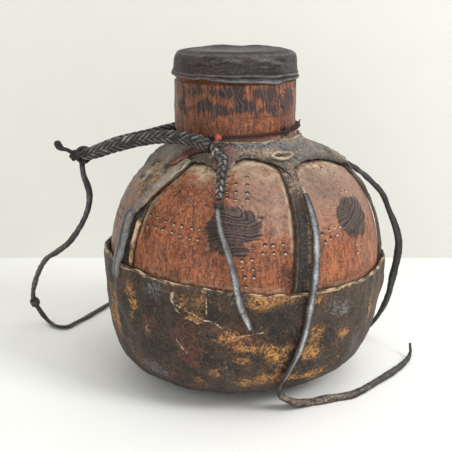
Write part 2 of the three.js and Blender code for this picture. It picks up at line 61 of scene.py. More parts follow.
camera = bpy.data.objects.new("camera", bpy.data.cameras.new("camera"))
camera.data.sensor_width = SENSOR
camera.data.lens = SENSOR * FOCAL_PX / IMAGE_PX
camera.data.clip_start = 0.01
camera.location = CAMERA_AT * MM
camera.rotation_euler = (np.radians(90 - CAMERA_DIP), 0, 0)
scene.collection.objects.link(camera)
scene.camera = camera

# Sizes of the wood and of the harness over it
SKIN_GAP = 0.7
BOOT_T = 2.4
YOKE_T = 1.3
TONGUE_T = 1.2
WALL = 6.5
FOOT_R = 37
FOOT_Z = 2.7
BELLY_R = 87.2
BELLY_Z = 77.5
SHOULDER_R = 44.8
SHOULDER_Z = 150.2
NECK_R = 38.2
NECK_Z = 160
SEAT_Z = 192.3
SEAT_R = 37.1
BORE_R = 31.7
RIM_Z = 207.6
FLOOR_Z = 11.7
YOKE_TOP_Z = 158.6

# Straps: azimuth at mid height, slant per millimetre, level of the yoke's cusp
STRAPS = {
    "strap_left": (-52.6, 0.03, 118.5),
    "strap_front": (22.6, 0.07, 140),
    "strap_right": (84, 0.02, 134),
    "strap_back_right": (157, 0, 137),
    "strap_back_left": (231, 0, 134),
}
LEAN_BELLY = 6
LEAN_FOOT = 12
LEAN_FADE = 18
BOOT_RIM_Z = 82.2
BOOT_TILT = 2.5
BOOT_WAVE = 2
STRAP_MID_Z = 113
STRAP_TUCK = 12
STRAP_FOOT_Z = 73
STRAP_W = 9.6
POCKET = 2.1
# Cusps of the yoke in order round the body: azimuth, level, rise of the arch that follows
CUSPS = np.array([
    (-52.44, 118.5, 0), (-37, 146, 3), (-14, 142.5, 9), (24.49, 140, 10),
    (84.42, 134, 12), (157, 137, 10), (231, 134, 17),
])


def ease(x, low, high):
    """Smooth step: 0 at low, 1 at high, three t squared less two t cubed between."""
    t = np.clip((np.asarray(x, float) - low) / (high - low), 0, 1)
    return t * t * (3 - 2 * t)


def hump(x, middle, half):
    """Bell curve: exp of minus the squared distance from the middle in half widths."""
    return np.exp(-(((np.asarray(x, float) - middle) / half) ** 2))


def turn_from(azimuth, mark):
    """Signed turn in degrees from a mark to an azimuth, within half a turn."""
    return (np.asarray(azimuth, float) - mark + 180) % 360 - 180


def toward(azimuth, mark, half):
    """Bell of the turn from a mark."""
    return hump(turn_from(azimuth, mark), 0, half)


def bezier(points, count):
    """Bezier arc by repeated linear blends of its control points."""
    t = np.linspace(0, 1, count)[:, None]
    rows = [np.asarray(p, float)[None] + 0 * t for p in points]
    while len(rows) > 1:
        rows = [a + (b - a) * t for a, b in zip(rows, rows[1:])]
    return rows[0]


MERIDIAN = np.vstack([
    bezier([(FOOT_R, FOOT_Z), (66, 13.7), (BELLY_R, 7.5), (BELLY_R, BELLY_Z)], 160),
    bezier([(BELLY_R, BELLY_Z), (BELLY_R, 128.5), (55.8, 146.02), (SHOULDER_R, SHOULDER_Z)], 160)[1:],
    bezier([(SHOULDER_R, SHOULDER_Z), (NECK_R, 152.71), (NECK_R, NECK_Z)], 40)[1:],
    [(NECK_R, 175), (NECK_R, SEAT_Z), (NECK_R, 230)],
])
MERIDIAN_RUN = np.gradient(MERIDIAN, axis=0)
MERIDIAN_RUN /= np.linalg.norm(MERIDIAN_RUN, axis=1, keepdims=True)
MERIDIAN_WAY = np.concatenate([[0], np.cumsum(np.linalg.norm(np.diff(MERIDIAN, axis=0), axis=1))])


def wood_at(z):
    """Radius of the wood at a height and the outward normal's radial and upward shares."""
    r = np.interp(z, MERIDIAN[:, 1], MERIDIAN[:, 0])
    nr = np.interp(z, MERIDIAN[:, 1], MERIDIAN_RUN[:, 1])
    nz = np.interp(z, MERIDIAN[:, 1], -MERIDIAN_RUN[:, 0])
    long = np.hypot(nr, nz)
    return r, nr / long, nz / long


def lean(z):
    """Sideways shift of the body: belly to the right, foot back by an exponential, none at the neck."""
    z = np.asarray(z, float)
    return (LEAN_BELLY - LEAN_FOOT * np.exp(-np.maximum(z, 0) / LEAN_FADE)) * (1 - ease(z, 141, 166))


def around(azimuth, r, z, centre=0.0):
    """Points on circles: centre plus r sin a across, minus r cos a in depth."""
    a = np.radians(azimuth)
    return np.stack(np.broadcast_arrays(centre + r * np.sin(a), -r * np.cos(a), 1.0 * z), -1)


def above(azimuth, z, lift):
    """Points over the wood at a height on it, lifted along its normal."""
    r, nr, nz = wood_at(z)
    return around(azimuth, r + lift * nr, z + lift * nz, lean(z))


def skin_normal(points):
    """Outward normal of the wood next to given points."""
    z = points[..., 2]
    _, nr, nz = wood_at(z)
    return around(np.degrees(np.arctan2(points[..., 0] - lean(z), -points[..., 1])), nr, nz)


WAVES = 9
WAVES_PEAK = 3.6


def ripple(points, size, seed):
    """Wander of about one either way: nine sine waves near one wavelength in seeded directions, added."""
    rng = np.random.default_rng(seed)
    ways = rng.normal(size=(WAVES, 3))
    ways *= 2 * np.pi / size * rng.uniform(0.6, 1.5, (WAVES, 1)) / np.linalg.norm(ways, axis=1, keepdims=True)
    return np.sin(points @ ways.T + rng.uniform(0, 2 * np.pi, WAVES)).sum(-1) / WAVES_PEAK


def blotches(points, size, seed):
    """The crests of a ripple alone."""
    return np.maximum(ripple(points, size, seed), 0)


def lumps(points, seed, *parts):
    """Ripples of several sizes added: each part has its weight and its size, seeds count up."""
    return sum(weight * ripple(points, size, seed + k) for k, (weight, size) in enumerate(parts))


# Nearest and farthest point tried on the camera's rays, and how many
RAY_TRIES = (400, 620, 1500)


def seen_on_wood(pixels, lift=0.0):
    """Azimuth and height where the camera's ray through a pixel first comes inside the lifted wood."""
    px = np.asarray(pixels, float)
    dip = np.radians(CAMERA_DIP)
    across = (px[:, 0] - IMAGE_PX / 2) / FOCAL_PX
    up = (IMAGE_PX / 2 - px[:, 1]) / FOCAL_PX
    ray = np.stack([across, np.cos(dip) + up * np.sin(dip), up * np.cos(dip) - np.sin(dip)], -1)
    points = CAMERA_AT + ray[:, None] * np.linspace(*RAY_TRIES)[None, :, None]
    z = points[..., 2]
    inside = np.hypot(points[..., 0] - lean(z), points[..., 1]) < wood_at(z)[0] + lift
    at = points[np.arange(len(px)), np.argmax(inside, axis=1)]
    return np.degrees(np.arctan2(at[:, 0] - lean(at[:, 2]), -at[:, 1])), at[:, 2]


def strap_azimuth(name, z):
    """Azimuth of a strap's middle at a height, slanting evenly."""
    azimuth, slant, _ = STRAPS[name]
    return azimuth + slant * (np.asarray(z, float) - STRAP_MID_Z)


def pocket(azimuth, z, scale):
    """Room over the strap ends: full beside a strap, none at twice that turn and above its tongue."""
    deep = [
        (1 - ease(np.abs(turn_from(azimuth, strap_azimuth(name, z))) * scale, 5.6, 10.5))
        * (1 - ease(z, cusp + STRAP_TUCK + 1, cusp + 2 * STRAP_TUCK))
        for name, (_, _, cusp) in STRAPS.items()
    ]
    return POCKET * np.max(np.broadcast_arrays(*deep), axis=0)


def arch_height(azimuth):
    """Lower edge of the yoke: straight from cusp to cusp plus the arch's rise times a rooted half sine."""
    turn = (np.asarray(azimuth, float) - CUSPS[0, 0]) % 360
    starts = CUSPS[:, 0] - CUSPS[0, 0]
    k = np.searchsorted(starts, turn, side="right") - 1
    after = (k + 1) % len(CUSPS)
    t = (turn - starts[k]) / (np.append(starts[1:], 360)[k] - starts[k])
    straight = CUSPS[k, 1] + (CUSPS[after, 1] - CUSPS[k, 1]) * t
    return straight + CUSPS[k, 2] * np.clip(np.sin(np.pi * t), 0, 1) ** 0.55


def boot_rim(azimuth):
    """Level of the boot's rim: a mean, a tilt and a twofold wave."""
    a = np.radians(azimuth)
    return BOOT_RIM_Z - BOOT_TILT * np.sin(a) + BOOT_WAVE * np.cos(2 * a + np.radians(120))


def spots(azimuth, z, marks):
    """Sum of oval bells on the skin: each mark gives azimuth, height, half widths and weight."""
    r = wood_at(z)[0]
    total = 0 * azimuth
    for a, level, wide, tall, weight in marks:
        off = np.radians(turn_from(azimuth, a)) * r
        total = total + weight * np.exp(-((off / wide) ** 2) - ((z - level) / tall) ** 2)
    return total


PX_MM = 0.57


def painted(azimuth, z, marks, lift=0.0):
    """Spots given by the picture: each mark has its pixel, half widths in pixels and weight."""
    places = zip(*seen_on_wood([m[:2] for m in marks], lift))
    return spots(azimuth, z, [(*at, m[2] * PX_MM, m[3] * PX_MM, m[4]) for at, m in zip(places, marks)])


def along(share, stops):
    """Straight interpolation through stops of share and value."""
    return np.interp(share, *zip(*stops))


def rings(turn, profile, level=None):
    """Plain rings of given radius and height, shifted as the body leans there or at a given level."""
    r, z = np.array(profile, float).T[..., None]
    return around(turn, r, z, lean(z if level is None else level))


def set_in(before, total, side):
    """Marks of some rows set into the rows of a whole grid, with nothing before and after them."""
    wide = np.broadcast_arrays(*side.values())
    return {k: np.pad(v, ((before, total - before - len(v)), (0, 0))) for k, v in zip(side, wide)}


# Surfaces and pieces


def surface(grid, loop_rows=False, **marks):
    """Closed surface from a grid of points: columns close round, rows close too or end in flat caps.

    Quads join neighbours; if the enclosed volume comes out negative, every face is turned round.
    """
    rows, columns = grid.shape[:2]
    i, j = np.meshgrid(np.arange(rows if loop_rows else rows - 1), np.arange(columns), indexing="ij")
    down = np.stack([i, i, i + 1, i + 1], -1).reshape(-1, 4)
    over = np.stack([j, j + 1, j + 1, j], -1).reshape(-1, 4)
    points = grid.reshape(-1, 3)
    quads = (down % rows) * columns + over % columns
    way = np.linalg.norm(np.diff(grid[:, 0], axis=0), axis=1)
    reached = np.concatenate([[0], np.cumsum(way), [way.sum() + way[-1:].sum()]]) * 0.1
    lay = np.stack([over / columns, reached[down]], -1)
    ends = [] if loop_rows else [np.arange(columns)[::-1], np.arange(columns) + (rows - 1) * columns]
    a, b, c, d = (points[quads[:, k]] - points.mean(0) for k in range(4))
    if (a * (np.cross(b, c) + np.cross(c, d))).sum() < 0:
        quads, lay = quads[:, ::-1], lay[:, ::-1]
        ends = [e[::-1] for e in ends]
    marks = {k: np.broadcast_to(v, (rows, columns)).reshape(-1) for k, v in marks.items()}
    return {"points": points, "quads": quads, "lay": lay, "ends": ends, "marks": marks}


SHARP_EDGE = 58


def add_piece(name, surfaces, finish, nodes=(), body="vessel"):
    """One object of closed surfaces, in metres at the origin, on a body and standing for its nodes."""
    first = np.cumsum([0] + [len(s["points"]) for s in surfaces])
    faces, lay = [], []
    for s, k in zip(surfaces, first):
        faces += (s["quads"] + k).tolist() + [(e + k).tolist() for e in s["ends"]]
        lay.append(s["lay"].reshape(-1, 2))
        lay += [np.tile(s["lay"][0, 0], (len(e), 1)) for e in s["ends"]]
    mesh = bpy.data.meshes.new(name)
    mesh.from_pydata((np.vstack([s["points"] for s in surfaces]) * MM).tolist(), [], faces)
    mesh.uv_layers.new(name="lay").data.foreach_set("uv", np.vstack(lay).astype(np.float32).ravel())
    for mark in sorted({k for s in surfaces for k in s["marks"]}):
        values = np.concatenate([s["marks"].get(mark, np.zeros(len(s["points"]))) for s in surfaces])
        mesh.attributes.new(mark, "FLOAT", "POINT").data.foreach_set("value", values.astype(np.float32))
    mesh.polygons.foreach_set("use_smooth", np.ones(len(faces), bool))
    mesh.set_sharp_from_angle(angle=np.radians(SHARP_EDGE))
    mesh.materials.append(finish)
    made = bpy.data.objects.new(name, mesh)
    scene.collection.objects.link(made)
    if body:
        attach(made, body)
    if nodes:
        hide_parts(*nodes)
    return made


def even(line, step):
    """The same line at evenly spaced points, by straight interpolation over its length."""
    way = np.concatenate([[0], np.cumsum(np.linalg.norm(np.diff(line, axis=0), axis=1))])
    at = np.linspace(0, way[-1], int(np.ceil(way[-1] / step)) + 1)
    return np.stack([np.interp(at, way, line[:, k]) for k in range(line.shape[1])], -1)


def smooth_route(points, step):
    """Cubic Hermite curve through points, tangents by differences over root chord lengths, spaced evenly."""
    p = np.asarray(points, float)
    t = np.concatenate([[0], np.cumsum(np.sqrt(np.linalg.norm(np.diff(p, axis=0), axis=1)))])
    m = np.gradient(p, t, axis=0)
    s = np.linspace(0, t[-1], 60 * len(p))
    k = np.clip(np.searchsorted(t, s, side="right") - 1, 0, len(t) - 2)
    h = (t[k + 1] - t[k])[:, None]
    u = ((s - t[k]) / (t[k + 1] - t[k]))[:, None]
    line = (2 * u**3 - 3 * u**2 + 1) * p[k] + (u**3 - 2 * u**2 + u) * h * m[k]
    line = line + (3 * u**2 - 2 * u**3) * p[k + 1] + (u**3 - u**2) * h * m[k + 1]
    return even(line, step)


def unit(v):
    """Vectors brought to length one."""
    return v / np.maximum(np.linalg.norm(v, axis=-1, keepdims=True), 1e-9)


def frames_along(line, facing):
    """Tangent, face and side directions at each point; the face is the given one square to the run."""
    run = unit(np.gradient(line, axis=0))
    facing = np.broadcast_to(np.asarray(facing, float), line.shape)
    face = unit(facing - (facing * run).sum(-1, keepdims=True) * run)
    return run, face, np.cross(run, face)


def length_of(line):
    """Length of a line of points."""
    return float(np.linalg.norm(np.diff(line, axis=0), axis=1).sum())


def flat_section(width, thick, count=18, power=0.6):
    """Flat rounded section: a superellipse, cosine and sine drawn towards the corners by a power."""
    a = np.linspace(0, 2 * np.pi, count, endpoint=False)
    c, s = np.cos(a), np.sin(a)
    return np.sign(c) * np.abs(c) ** power * width / 2, np.sign(s) * np.abs(s) ** power * thick / 2


def beside(line, side, face, across, out):
    """Points next to a line: across along its side direction, out along its face direction."""
    return line[:, None] + across[..., None] * side[:, None] + out[..., None] * face[:, None]


def swept(line, facing, section, scale=1.0, twist=0.0, cup=0.0):
    """A section carried along a line, scaled, turned by a twist and cupped by side squared."""
    _, face, side = frames_along(line, facing)
    x, y = section
    grow = np.broadcast_to(scale, len(line))[:, None]
    turn = np.radians(np.broadcast_to(twist, len(line)))[:, None]
    y = y - cup * x**2
    across = grow * (x * np.cos(turn) - y * np.sin(turn))
    out = grow * (x * np.sin(turn) + y * np.cos(turn))
    return beside(line, side, face, across, out)


def tapered(count, head, tail):
    """Scale along a run: rises from a head share and falls to a tail share over its last tenth."""
    t = np.linspace(0, 1, count)
    return (head + (1 - head) * ease(t, 0, 0.06)) * (tail + (1 - tail) * (1 - ease(t, 0.9, 1)))


def plait(line, facing, half, depth, pitch, strand, scale=1.0):
    """Three flat strands: each swings a sine across and a double sine in depth, a third of a pitch apart."""
    _, face, side = frames_along(line, facing)
    way = np.linspace(0, length_of(line), len(line))
    grow = np.broadcast_to(scale, len(line))
    made = []
    for k in range(3):
        phase = 2 * np.pi * (way / pitch + k / 3)
        middle = line + side * (grow * half * np.sin(phase))[:, None]
        middle = middle + face * (grow * depth * np.sin(2 * phase))[:, None]
        turned = face + side * (0.35 * np.sin(phase))[:, None]
        x, y = flat_section(*strand)
        grid = swept(middle, turned, (x, y), grow)
        # Painted highlight along one edge of each strand where it rides over, painted shade where it runs
        # under and at its edges.
        crest = np.sqrt(np.maximum(np.sin(2 * phase), 0))[:, None]
        lit = hump(x / strand[0], 0.2, 0.16) * (y > 0)
        made.append(surface(grid, worn=crest * lit * (0.75 + 0.5 * ripple(middle, 9, 71))[:, None],
                            soot=0.55 * (1 - crest * (1 - ease(np.abs(x) / strand[0], 0.34, 0.5)))))
    return made


def herringbone(line, facing, half, spacing, slant, depth, scale=1.0):
    """Close plait as one skin: an oval section raised into strands that slant from each edge to the middle.

    Height comes from two mirrored sets of cushions half a strand out of step; each set runs a little
    over the middle and the higher one shows, so the strands lock like a zip.
    """
    _, face, side = frames_along(line, facing)
    way = np.linspace(0, length_of(line), len(line))[:, None]
    a = np.linspace(0, 2 * np.pi, 60, endpoint=False)
    x, y = np.cos(a)[None], np.sin(a)[None]
    way = way + 0.5 * ripple(line, 17, 72)[:, None]
    heights = []
    for way_over, step in ((x, 0.0), (-x, 0.5)):
        part = ((way - slant * half[0] * (1 - way_over)) / spacing + step) % 1
        cushion = (1 - np.abs(2 * part - 1) ** 3) * (0.72 + 0.28 * part)
        heights.append(cushion * ease(way_over, -0.3, 0.12))
    high = np.max(heights, axis=0)
    grow = np.broadcast_to(scale, len(line))[:, None]
    raised = depth * (high - 1) * (1 - 0.45 * np.abs(x) ** 4) + 0.12 * ripple(line, 6, 73)[:, None]
    grid = beside(line, side, face, grow * (half[0] + raised) * x, grow * (half[1] + raised) * y)
    # Painted highlight on the raised cushions, painted shade in the low places between strands.
    rubbed_highlight = ease(high, 0.7, 0.98) * np.maximum(0.5 + 0.8 * ripple(grid, 9, 71), 0)
    return surface(grid, worn=np.minimum(rubbed_highlight, 1), soot=1.0 - ease(high, 0.25, 0.75))


def twisted(line, facing, reach, strand, pitch):
    """Laid cord: two strands circle the line on a helix of one pitch, half a turn apart."""
    _, face, side = frames_along(line, facing)
    way = np.linspace(0, length_of(line), len(line))
    made = []
    for start in (0, 0.5):
        phase = 2 * np.pi * (way / pitch + start)
        out = face * np.cos(phase)[:, None] + side * np.sin(phase)[:, None]
        made.append(surface(swept(line + out * reach, out, flat_section(2 * strand, 2 * strand, 10, 1.0))))
    return made


def knot(centre, size, thick, turn=0.0):
    """Closed trefoil: sine and double sine across, treble sine in depth, fitted to half sizes, as a tube."""
    t = np.linspace(0, 2 * np.pi, 150, endpoint=False)
    shape = np.stack([np.sin(t) + 2 * np.sin(2 * t), np.cos(t) - 2 * np.cos(2 * t), -1.6 * np.sin(3 * t)], -1)
    shape = shape / np.abs(shape).max(0)
    a = np.radians(turn)
    spin = np.array([[np.cos(a), 0, np.sin(a)], [0, 1, 0], [-np.sin(a), 0, np.cos(a)]])
    line = np.asarray(centre) + shape @ spin.T * (np.asarray(size) - thick)
    run = unit(np.roll(line, -1, 0) - np.roll(line, 1, 0))
    out = line - centre
    face = unit(out - (out * run).sum(-1, keepdims=True) * run)
    x, y = flat_section(2 * thick, 1.7 * thick, 12, 0.85)
    return surface(beside(line, np.cross(run, face), face, x[None], y[None]), loop_rows=True)


# Node helpers


def tone(red, green, blue):
    """Display colour in 0 to 255 as the linear colour that the shader takes."""
    c = np.array([red, green, blue]) / 255
    return (*np.where(c <= 0.04045, c / 12.92, ((c + 0.055) / 1.055) ** 2.4).tolist(), 1.0)


def feed(tree, node, inputs):
    """Sets inputs of a node: each is a plain value or another node's output."""
    for key, value in dict(inputs).items():
        if isinstance(value, bpy.types.NodeSocket):
            tree.links.new(value, node.inputs[key])
        else:
            node.inputs[key].default_value = value


def put(tree, kind, inputs=(), **settings):
    """A node with its settings and inputs."""
    node = tree.nodes.new("ShaderNode" + kind)
    for key, value in settings.items():
        setattr(node, key, value)
    feed(tree, node, inputs)
    return node


def times(tree, a, b):
    """Product of two values."""
    return put(tree, "Math", {0: a, 1: b}, operation="MULTIPLY").outputs[0]


def weighed(tree, *shares, start=0.0):
    """Sum of outputs times weights, by a chain of multiply and add."""
    total = start
    for value, weight in shares:
        total = put(tree, "Math", {0: value, 1: weight, 2: total}, operation="MULTIPLY_ADD").outputs[0]
    return total


def coat(tree, colour, *layers):
    """Colour with layers laid over it in turn: each gives its share and its tone or colour output."""
    for share, over in layers:
        over = over if isinstance(over, bpy.types.NodeSocket) else tone(*over)
        colour = put(tree, "Mix", {0: share, 6: colour, 7: over}, data_type="RGBA").outputs[2]
    return colour


def spread(tree, value, low, high, to_low=0.0, to_high=1.0):
    """Smooth, clamped change of range."""
    return put(tree, "MapRange", {0: value, 1: low, 2: high, 3: to_low, 4: to_high},
               interpolation_type="SMOOTHSTEP").outputs[0]


def noise(tree, place, scale, detail=4.0, rough=0.55, warp=0.0):
    """Value of a noise texture."""
    return put(tree, "TexNoise", {"Vector": place, "Scale": scale, "Detail": detail, "Roughness": rough,
                                  "Distortion": warp}).outputs[0]


def clouds(tree, place, scale, detail, rough, warp=0.0, low=0.32):
    """Noise spread from a low share and its mirrored high share to the full range."""
    return spread(tree, noise(tree, place, scale, detail, rough, warp), low, 1 - low)


def uneven_lines(tree, value, gap):
    """Lines of uneven width and spacing: noise of one value alone, about one line per gap."""
    return put(tree, "TexNoise", {"W": times(tree, value, 1 / gap), "Scale": 1.0, "Detail": 2.0,
                                  "Roughness": 0.6}, noise_dimensions="1D").outputs[0]


def mark(tree, name):
    """Value of one of the piece's own marks."""
    return put(tree, "Attribute", attribute_name=name).outputs["Fac"]


# Spots that a piece may be marked with: name, deep tone, bright tone; the dark one also carries painted shade
# in recesses and under edges, and slate carries painted sheen on the yoke
HIDE_SPOTS = (
    ("red", (62, 33, 26), (106, 62, 48)), ("ochre", (72, 44, 26), (212, 152, 86)),
    ("tan", (98, 81, 68), (164, 142, 118)), ("soot", (20, 18, 18), (42, 38, 36)),
    ("slate", (46, 48, 51), (126, 128, 130)), ("pale", (154, 126, 98), (220, 198, 170)),
)
HIDE_MARKS = tuple(label for label, _, _ in HIDE_SPOTS) + ("worn", "edge")
HIDE_TONES = ("Dark", "Middle", "Light", "Rim", "Rub Highlight")
CRACK_TONE = (24, 20, 18)
CRACK_SCALE = 90.0
CRACK_BEND = 0.006


def make_hide_group():
    """Old hide, built once for every leather finish.

    Noise of three sizes takes the tone from dark over middle to light. Each mark lays a spot from its deep
    to its bright tone, whose border the noise breaks up. Faces marked for wear and highlight take a pale
    highlight tone, a painted highlight over rubbing wear; cut edges turn pale, and warped cell borders crack
    it.
    """
    tree = bpy.data.node_groups.new("old_hide", "ShaderNodeTree")
    inputs = {"Place": "Vector"} | dict.fromkeys(HIDE_TONES, "Color")
    inputs |= dict.fromkeys(("Patch Scale", "Wear") + HIDE_MARKS, "Float")
    outputs = {"Colour": "Color", "Dullness": "Float", "Height": "Float"}
    for way, sockets in (("INPUT", inputs), ("OUTPUT", outputs)):
        for label, kind in sockets.items():
            tree.interface.new_socket(label, in_out=way, socket_type="NodeSocket" + kind)
    given, out = tree.nodes.new("NodeGroupInput").outputs, tree.nodes.new("NodeGroupOutput")
    place = given["Place"]
    broad = clouds(tree, place, given["Patch Scale"], 7.0, 0.62, 0.4, 0.34)
    mottle = clouds(tree, place, 130.0, 8.0, 0.68, 0.5)
    fine = clouds(tree, place, 460.0, 6.0, 0.7, 1.2)
    broken = clouds(tree, place, 240.0, 5.0, 0.7, 1.6, 0.34)
    grit = noise(tree, place, 1500.0, 2.0, 0.7)
    flecks = noise(tree, place, 820.0, 4.0, 0.75, 0.6)
    uneven = weighed(tree, (mottle, 0.34), (fine, 0.33), (broken, 0.33))
    colour = coat(
        tree, given["Dark"],
        (spread(tree, weighed(tree, (broad, 0.55), (uneven, 0.45)), 0.2, 0.75), given["Middle"]),
        (spread(tree, uneven, 0.5, 0.95, 0.0, 0.7), given["Light"]))
    grain = spread(tree, weighed(tree, (flecks, 1.0), (fine, 0.4), (broken, 0.5)), 0.6, 1.3)
    for label, deep, bright in HIDE_SPOTS:
        share = spread(tree, weighed(tree, (given[label], 0.68), (uneven, 0.7), (flecks, 0.5)), 0.78, 1.22)
        share = times(tree, share, spread(tree, given[label], 0.0, 0.3, 0.0, 0.9))
        colour = coat(tree, colour, (share, coat(tree, tone(*deep), (grain, bright))))
    drift = put(tree, "TexNoise", {"Vector": place, "Scale": 120.0, "Detail": 3.0}).outputs["Color"]
    bent = put(tree, "VectorMath", {0: drift, 1: (CRACK_BEND,) * 3, 2: place}, operation="MULTIPLY_ADD")
    border = put(tree, "TexVoronoi", {"Vector": bent.outputs[0], "Scale": CRACK_SCALE},
                 feature="DISTANCE_TO_EDGE")
    cracks = times(tree, spread(tree, border.outputs["Distance"], 0.05, 0.0),
                   spread(tree, noise(tree, place, 55.0, 3.0), 0.46, 0.62))
    # Painted highlight: the pale highlight tone laid where a piece is marked for wear and highlight.
    rubbed_highlight = times(tree, given["worn"], spread(tree, uneven, 0.15, 0.8, 0.35, 1.0))
    rim = spread(
        tree, weighed(tree, (given["edge"], 1.0), (noise(tree, place, 260.0, 5.0, 0.6), 1.0)), 0.92, 1.3)
    colour = coat(
        tree, colour,
        (rubbed_highlight, given["Rub Highlight"]),
        (spread(tree, flecks, 0.52, 0.68, 0.0, 0.62), given["Light"]),
        (spread(tree, flecks, 0.48, 0.34, 0.0, 0.75), given["Dark"]),
        (times(tree, cracks, 0.25), CRACK_TONE),
        (times(tree, rim, given["Wear"]), given["Rim"]))
    cells = put(tree, "TexVoronoi", {"Vector": place, "Scale": 700.0}).outputs["Distance"]
    height = weighed(tree, (broad, 0.4), (uneven, 0.5), (spread(tree, cells, 0.05, 0.55), 0.22),
                     (flecks, 0.7), (grit, 0.3), (cracks, -0.3))
    feed(tree, out, {"Colour": colour, "Dullness": weighed(tree, (uneven, 1.0), (rubbed_highlight, -0.3)),
                     "Height": height})
    return tree


HIDE_GROUP = make_hide_group()


# Depths of the bumps in metres
HIDE_BUMP = 0.0009
WOOD_BUMP = 0.0005
DOT_BUMP = 0.0003
FIBRE_BUMP = 0.0004


def start_finish(name):
    """New material: itself, its tree, its principled shader and the object coordinates."""
    made = bpy.data.materials.new(name)
    made.use_nodes = True
    tree = made.node_tree
    return made, tree, tree.nodes["Principled BSDF"], put(tree, "TexCoord").outputs["Object"]


def end_finish(tree, shader, colour, dullness, height, relief, depth, gleam=0.5):
    """Last links of a finish: colour, roughness, gleam, and a bump of a strength and a depth in metres."""
    bump = put(tree, "Bump", {"Height": height, "Strength": relief, "Distance": depth}).outputs[0]
    feed(tree, shader, {"Base Color": colour, "Roughness": dullness, "Specular IOR Level": gleam,
                        "Normal": bump})


def hide_finish(name, *tones, rub_highlight=(168, 166, 168), patches=38.0, shine=(0.36, 0.64), relief=0.5, wear=1.0,
                stretch=1.0, gleam=0.5):
    """Hide from the shared group, of dark, middle, light and rim tones, fed with the piece's own marks."""
    made, tree, shader, place = start_finish(name)
    place = put(tree, "Mapping", {"Vector": place, "Scale": (1.0, 1.0, stretch)}).outputs[0]
    given = {label: tone(*colour) for label, colour in zip(HIDE_TONES, (*tones, rub_highlight))}
    given |= {"Place": place, "Patch Scale": patches, "Wear": wear}
    given |= {label: mark(tree, label) for label in HIDE_MARKS}
    hide = put(tree, "Group", given, node_tree=HIDE_GROUP).outputs
    dullness = spread(tree, hide["Dullness"], 0.1, 0.85, *shine)
    end_finish(tree, shader, hide["Colour"], dullness, hide["Height"], relief, HIDE_BUMP, gleam)
    return made


RING_MM = 1.3
BAND_MM = 5.4


def wood_finish():
    """Wood: growth lines are noise of the piece's own layer distance alone, fine ones over broad bands.

    Short fibres and a pink painted sheen lie over them; burnt places keep the lines; pale residue lies by the
    hide.
    """
    made, tree, shader, place = start_finish("carved_wood")
    flow = clouds(tree, place, 42.0, 6.0, 0.6, 0.8)
    curl = noise(tree, place, 210.0, 5.0, 0.65)
    layer = weighed(tree, (curl, 2.6), (noise(tree, place, 520.0, 3.0), 0.8), (mark(tree, "layer"), 1.0))
    lines = spread(tree, uneven_lines(tree, layer, RING_MM), 0.4, 0.62)
    bands = spread(tree, uneven_lines(tree, weighed(tree, (layer, 1.0), (flow, 4.0)), BAND_MM), 0.36, 0.64)
    drawn = times(tree, lines, spread(tree, noise(tree, place, 75.0), 0.36, 0.62, 0.3, 1.0))
    tilted = put(tree, "Mapping", {"Vector": place, "Rotation": (0.2, 0.6, 0.0), "Scale": (1.0, 1.0, 0.16)})
    fibres = clouds(tree, tilted.outputs[0], 620.0, 5.0, 0.65, 0.6)
    specks = clouds(tree, place, 760.0, 4.0, 0.7, low=0.34)
    given = mark(tree, "veil")
    veil = times(tree, spread(tree, weighed(tree, (given, 1.0), (curl, 0.8)), 0.55, 1.35, 0.0, 0.52),
                 spread(tree, given, 0.0, 0.2))
    veil = times(tree, veil, spread(tree, weighed(tree, (fibres, 0.5), (drawn, 0.6)), 0.1, 1.0, 1.15, 0.45))
    given = mark(tree, "burn")
    burn = weighed(tree, (given, 1.0), (fibres, 0.32), (lines, mark(tree, "streak")))
    burn = times(tree, spread(tree, burn, 0.52, 0.86), spread(tree, given, 0.02, 0.3))
    charred = spread(tree, weighed(tree, (lines, 0.7), (fibres, 0.3), (curl, 0.3)), 0.3, 0.85)
    dusk = spread(tree, noise(tree, place, 120.0, 5.0, 0.7), 0.3, 0.6)
    colour = coat(
        tree, tone(104, 52, 31),
        (flow, (172, 101, 62)),
        (times(tree, mark(tree, "glow"), spread(tree, curl, 0.3, 0.6)), (200, 112, 62)),
        (times(tree, bands, 0.42), (84, 43, 29)),
        (times(tree, drawn, 0.55), (70, 36, 26)),
        (spread(tree, fibres, 0.5, 0.95, 0.0, 0.66), (56, 32, 24)),
        (spread(tree, fibres, 0.45, 0.05, 0.0, 0.35), (196, 118, 74)),
        (spread(tree, specks, 0.55, 1.0, 0.0, 0.42), (202, 142, 106)),
        (veil, (145, 125, 113)),
        (times(tree, burn, 0.95), coat(tree, tone(90, 73, 68), (charred, (25, 24, 28)))),
        (times(tree, mark(tree, "residue"), spread(tree, curl, 0.36, 0.58)), (190, 171, 145)),
        # Dark tone from the marks: painted shade beside the straps and under the yoke's edge, with darker
        # places of the wood.
        (times(tree, mark(tree, "soot"), dusk), (44, 33, 28)))
    dullness = spread(tree, weighed(tree, (fibres, 1.0), (burn, 1.0)), 0.3, 1.4, 0.36, 0.62)
    height = weighed(tree, (lines, -0.5), (fibres, -1.0), (specks, 0.4))
    end_finish(tree, shader, colour, dullness, height, 0.45, WOOD_BUMP, 0.36)
    return made


def dot_finish():
    """Drilled dots: painted shadow under the upper lip, dark round the rim, pale dust caught on the lower
    side.
    """
    made, tree, shader, place = start_finish("dusty_dots")
    rho = mark(tree, "rho")
    low = weighed(tree, (mark(tree, "upward"), 1.0), (rho, 0.55), (noise(tree, place, 420.0), 0.9),
                  start=-0.45)
    colour = coat(
        tree, tone(150, 122, 98),
        (noise(tree, place, 700.0), (198, 178, 152)),
        (spread(tree, low, -0.12, 0.22), (32, 22, 18)),
        (spread(tree, rho, 0.84, 0.98), (96, 56, 38)))
    end_finish(tree, shader, colour, spread(tree, low, -0.2, 0.4, 0.9, 0.6), noise(tree, place, 1500.0), 0.3,
               DOT_BUMP)
    return made


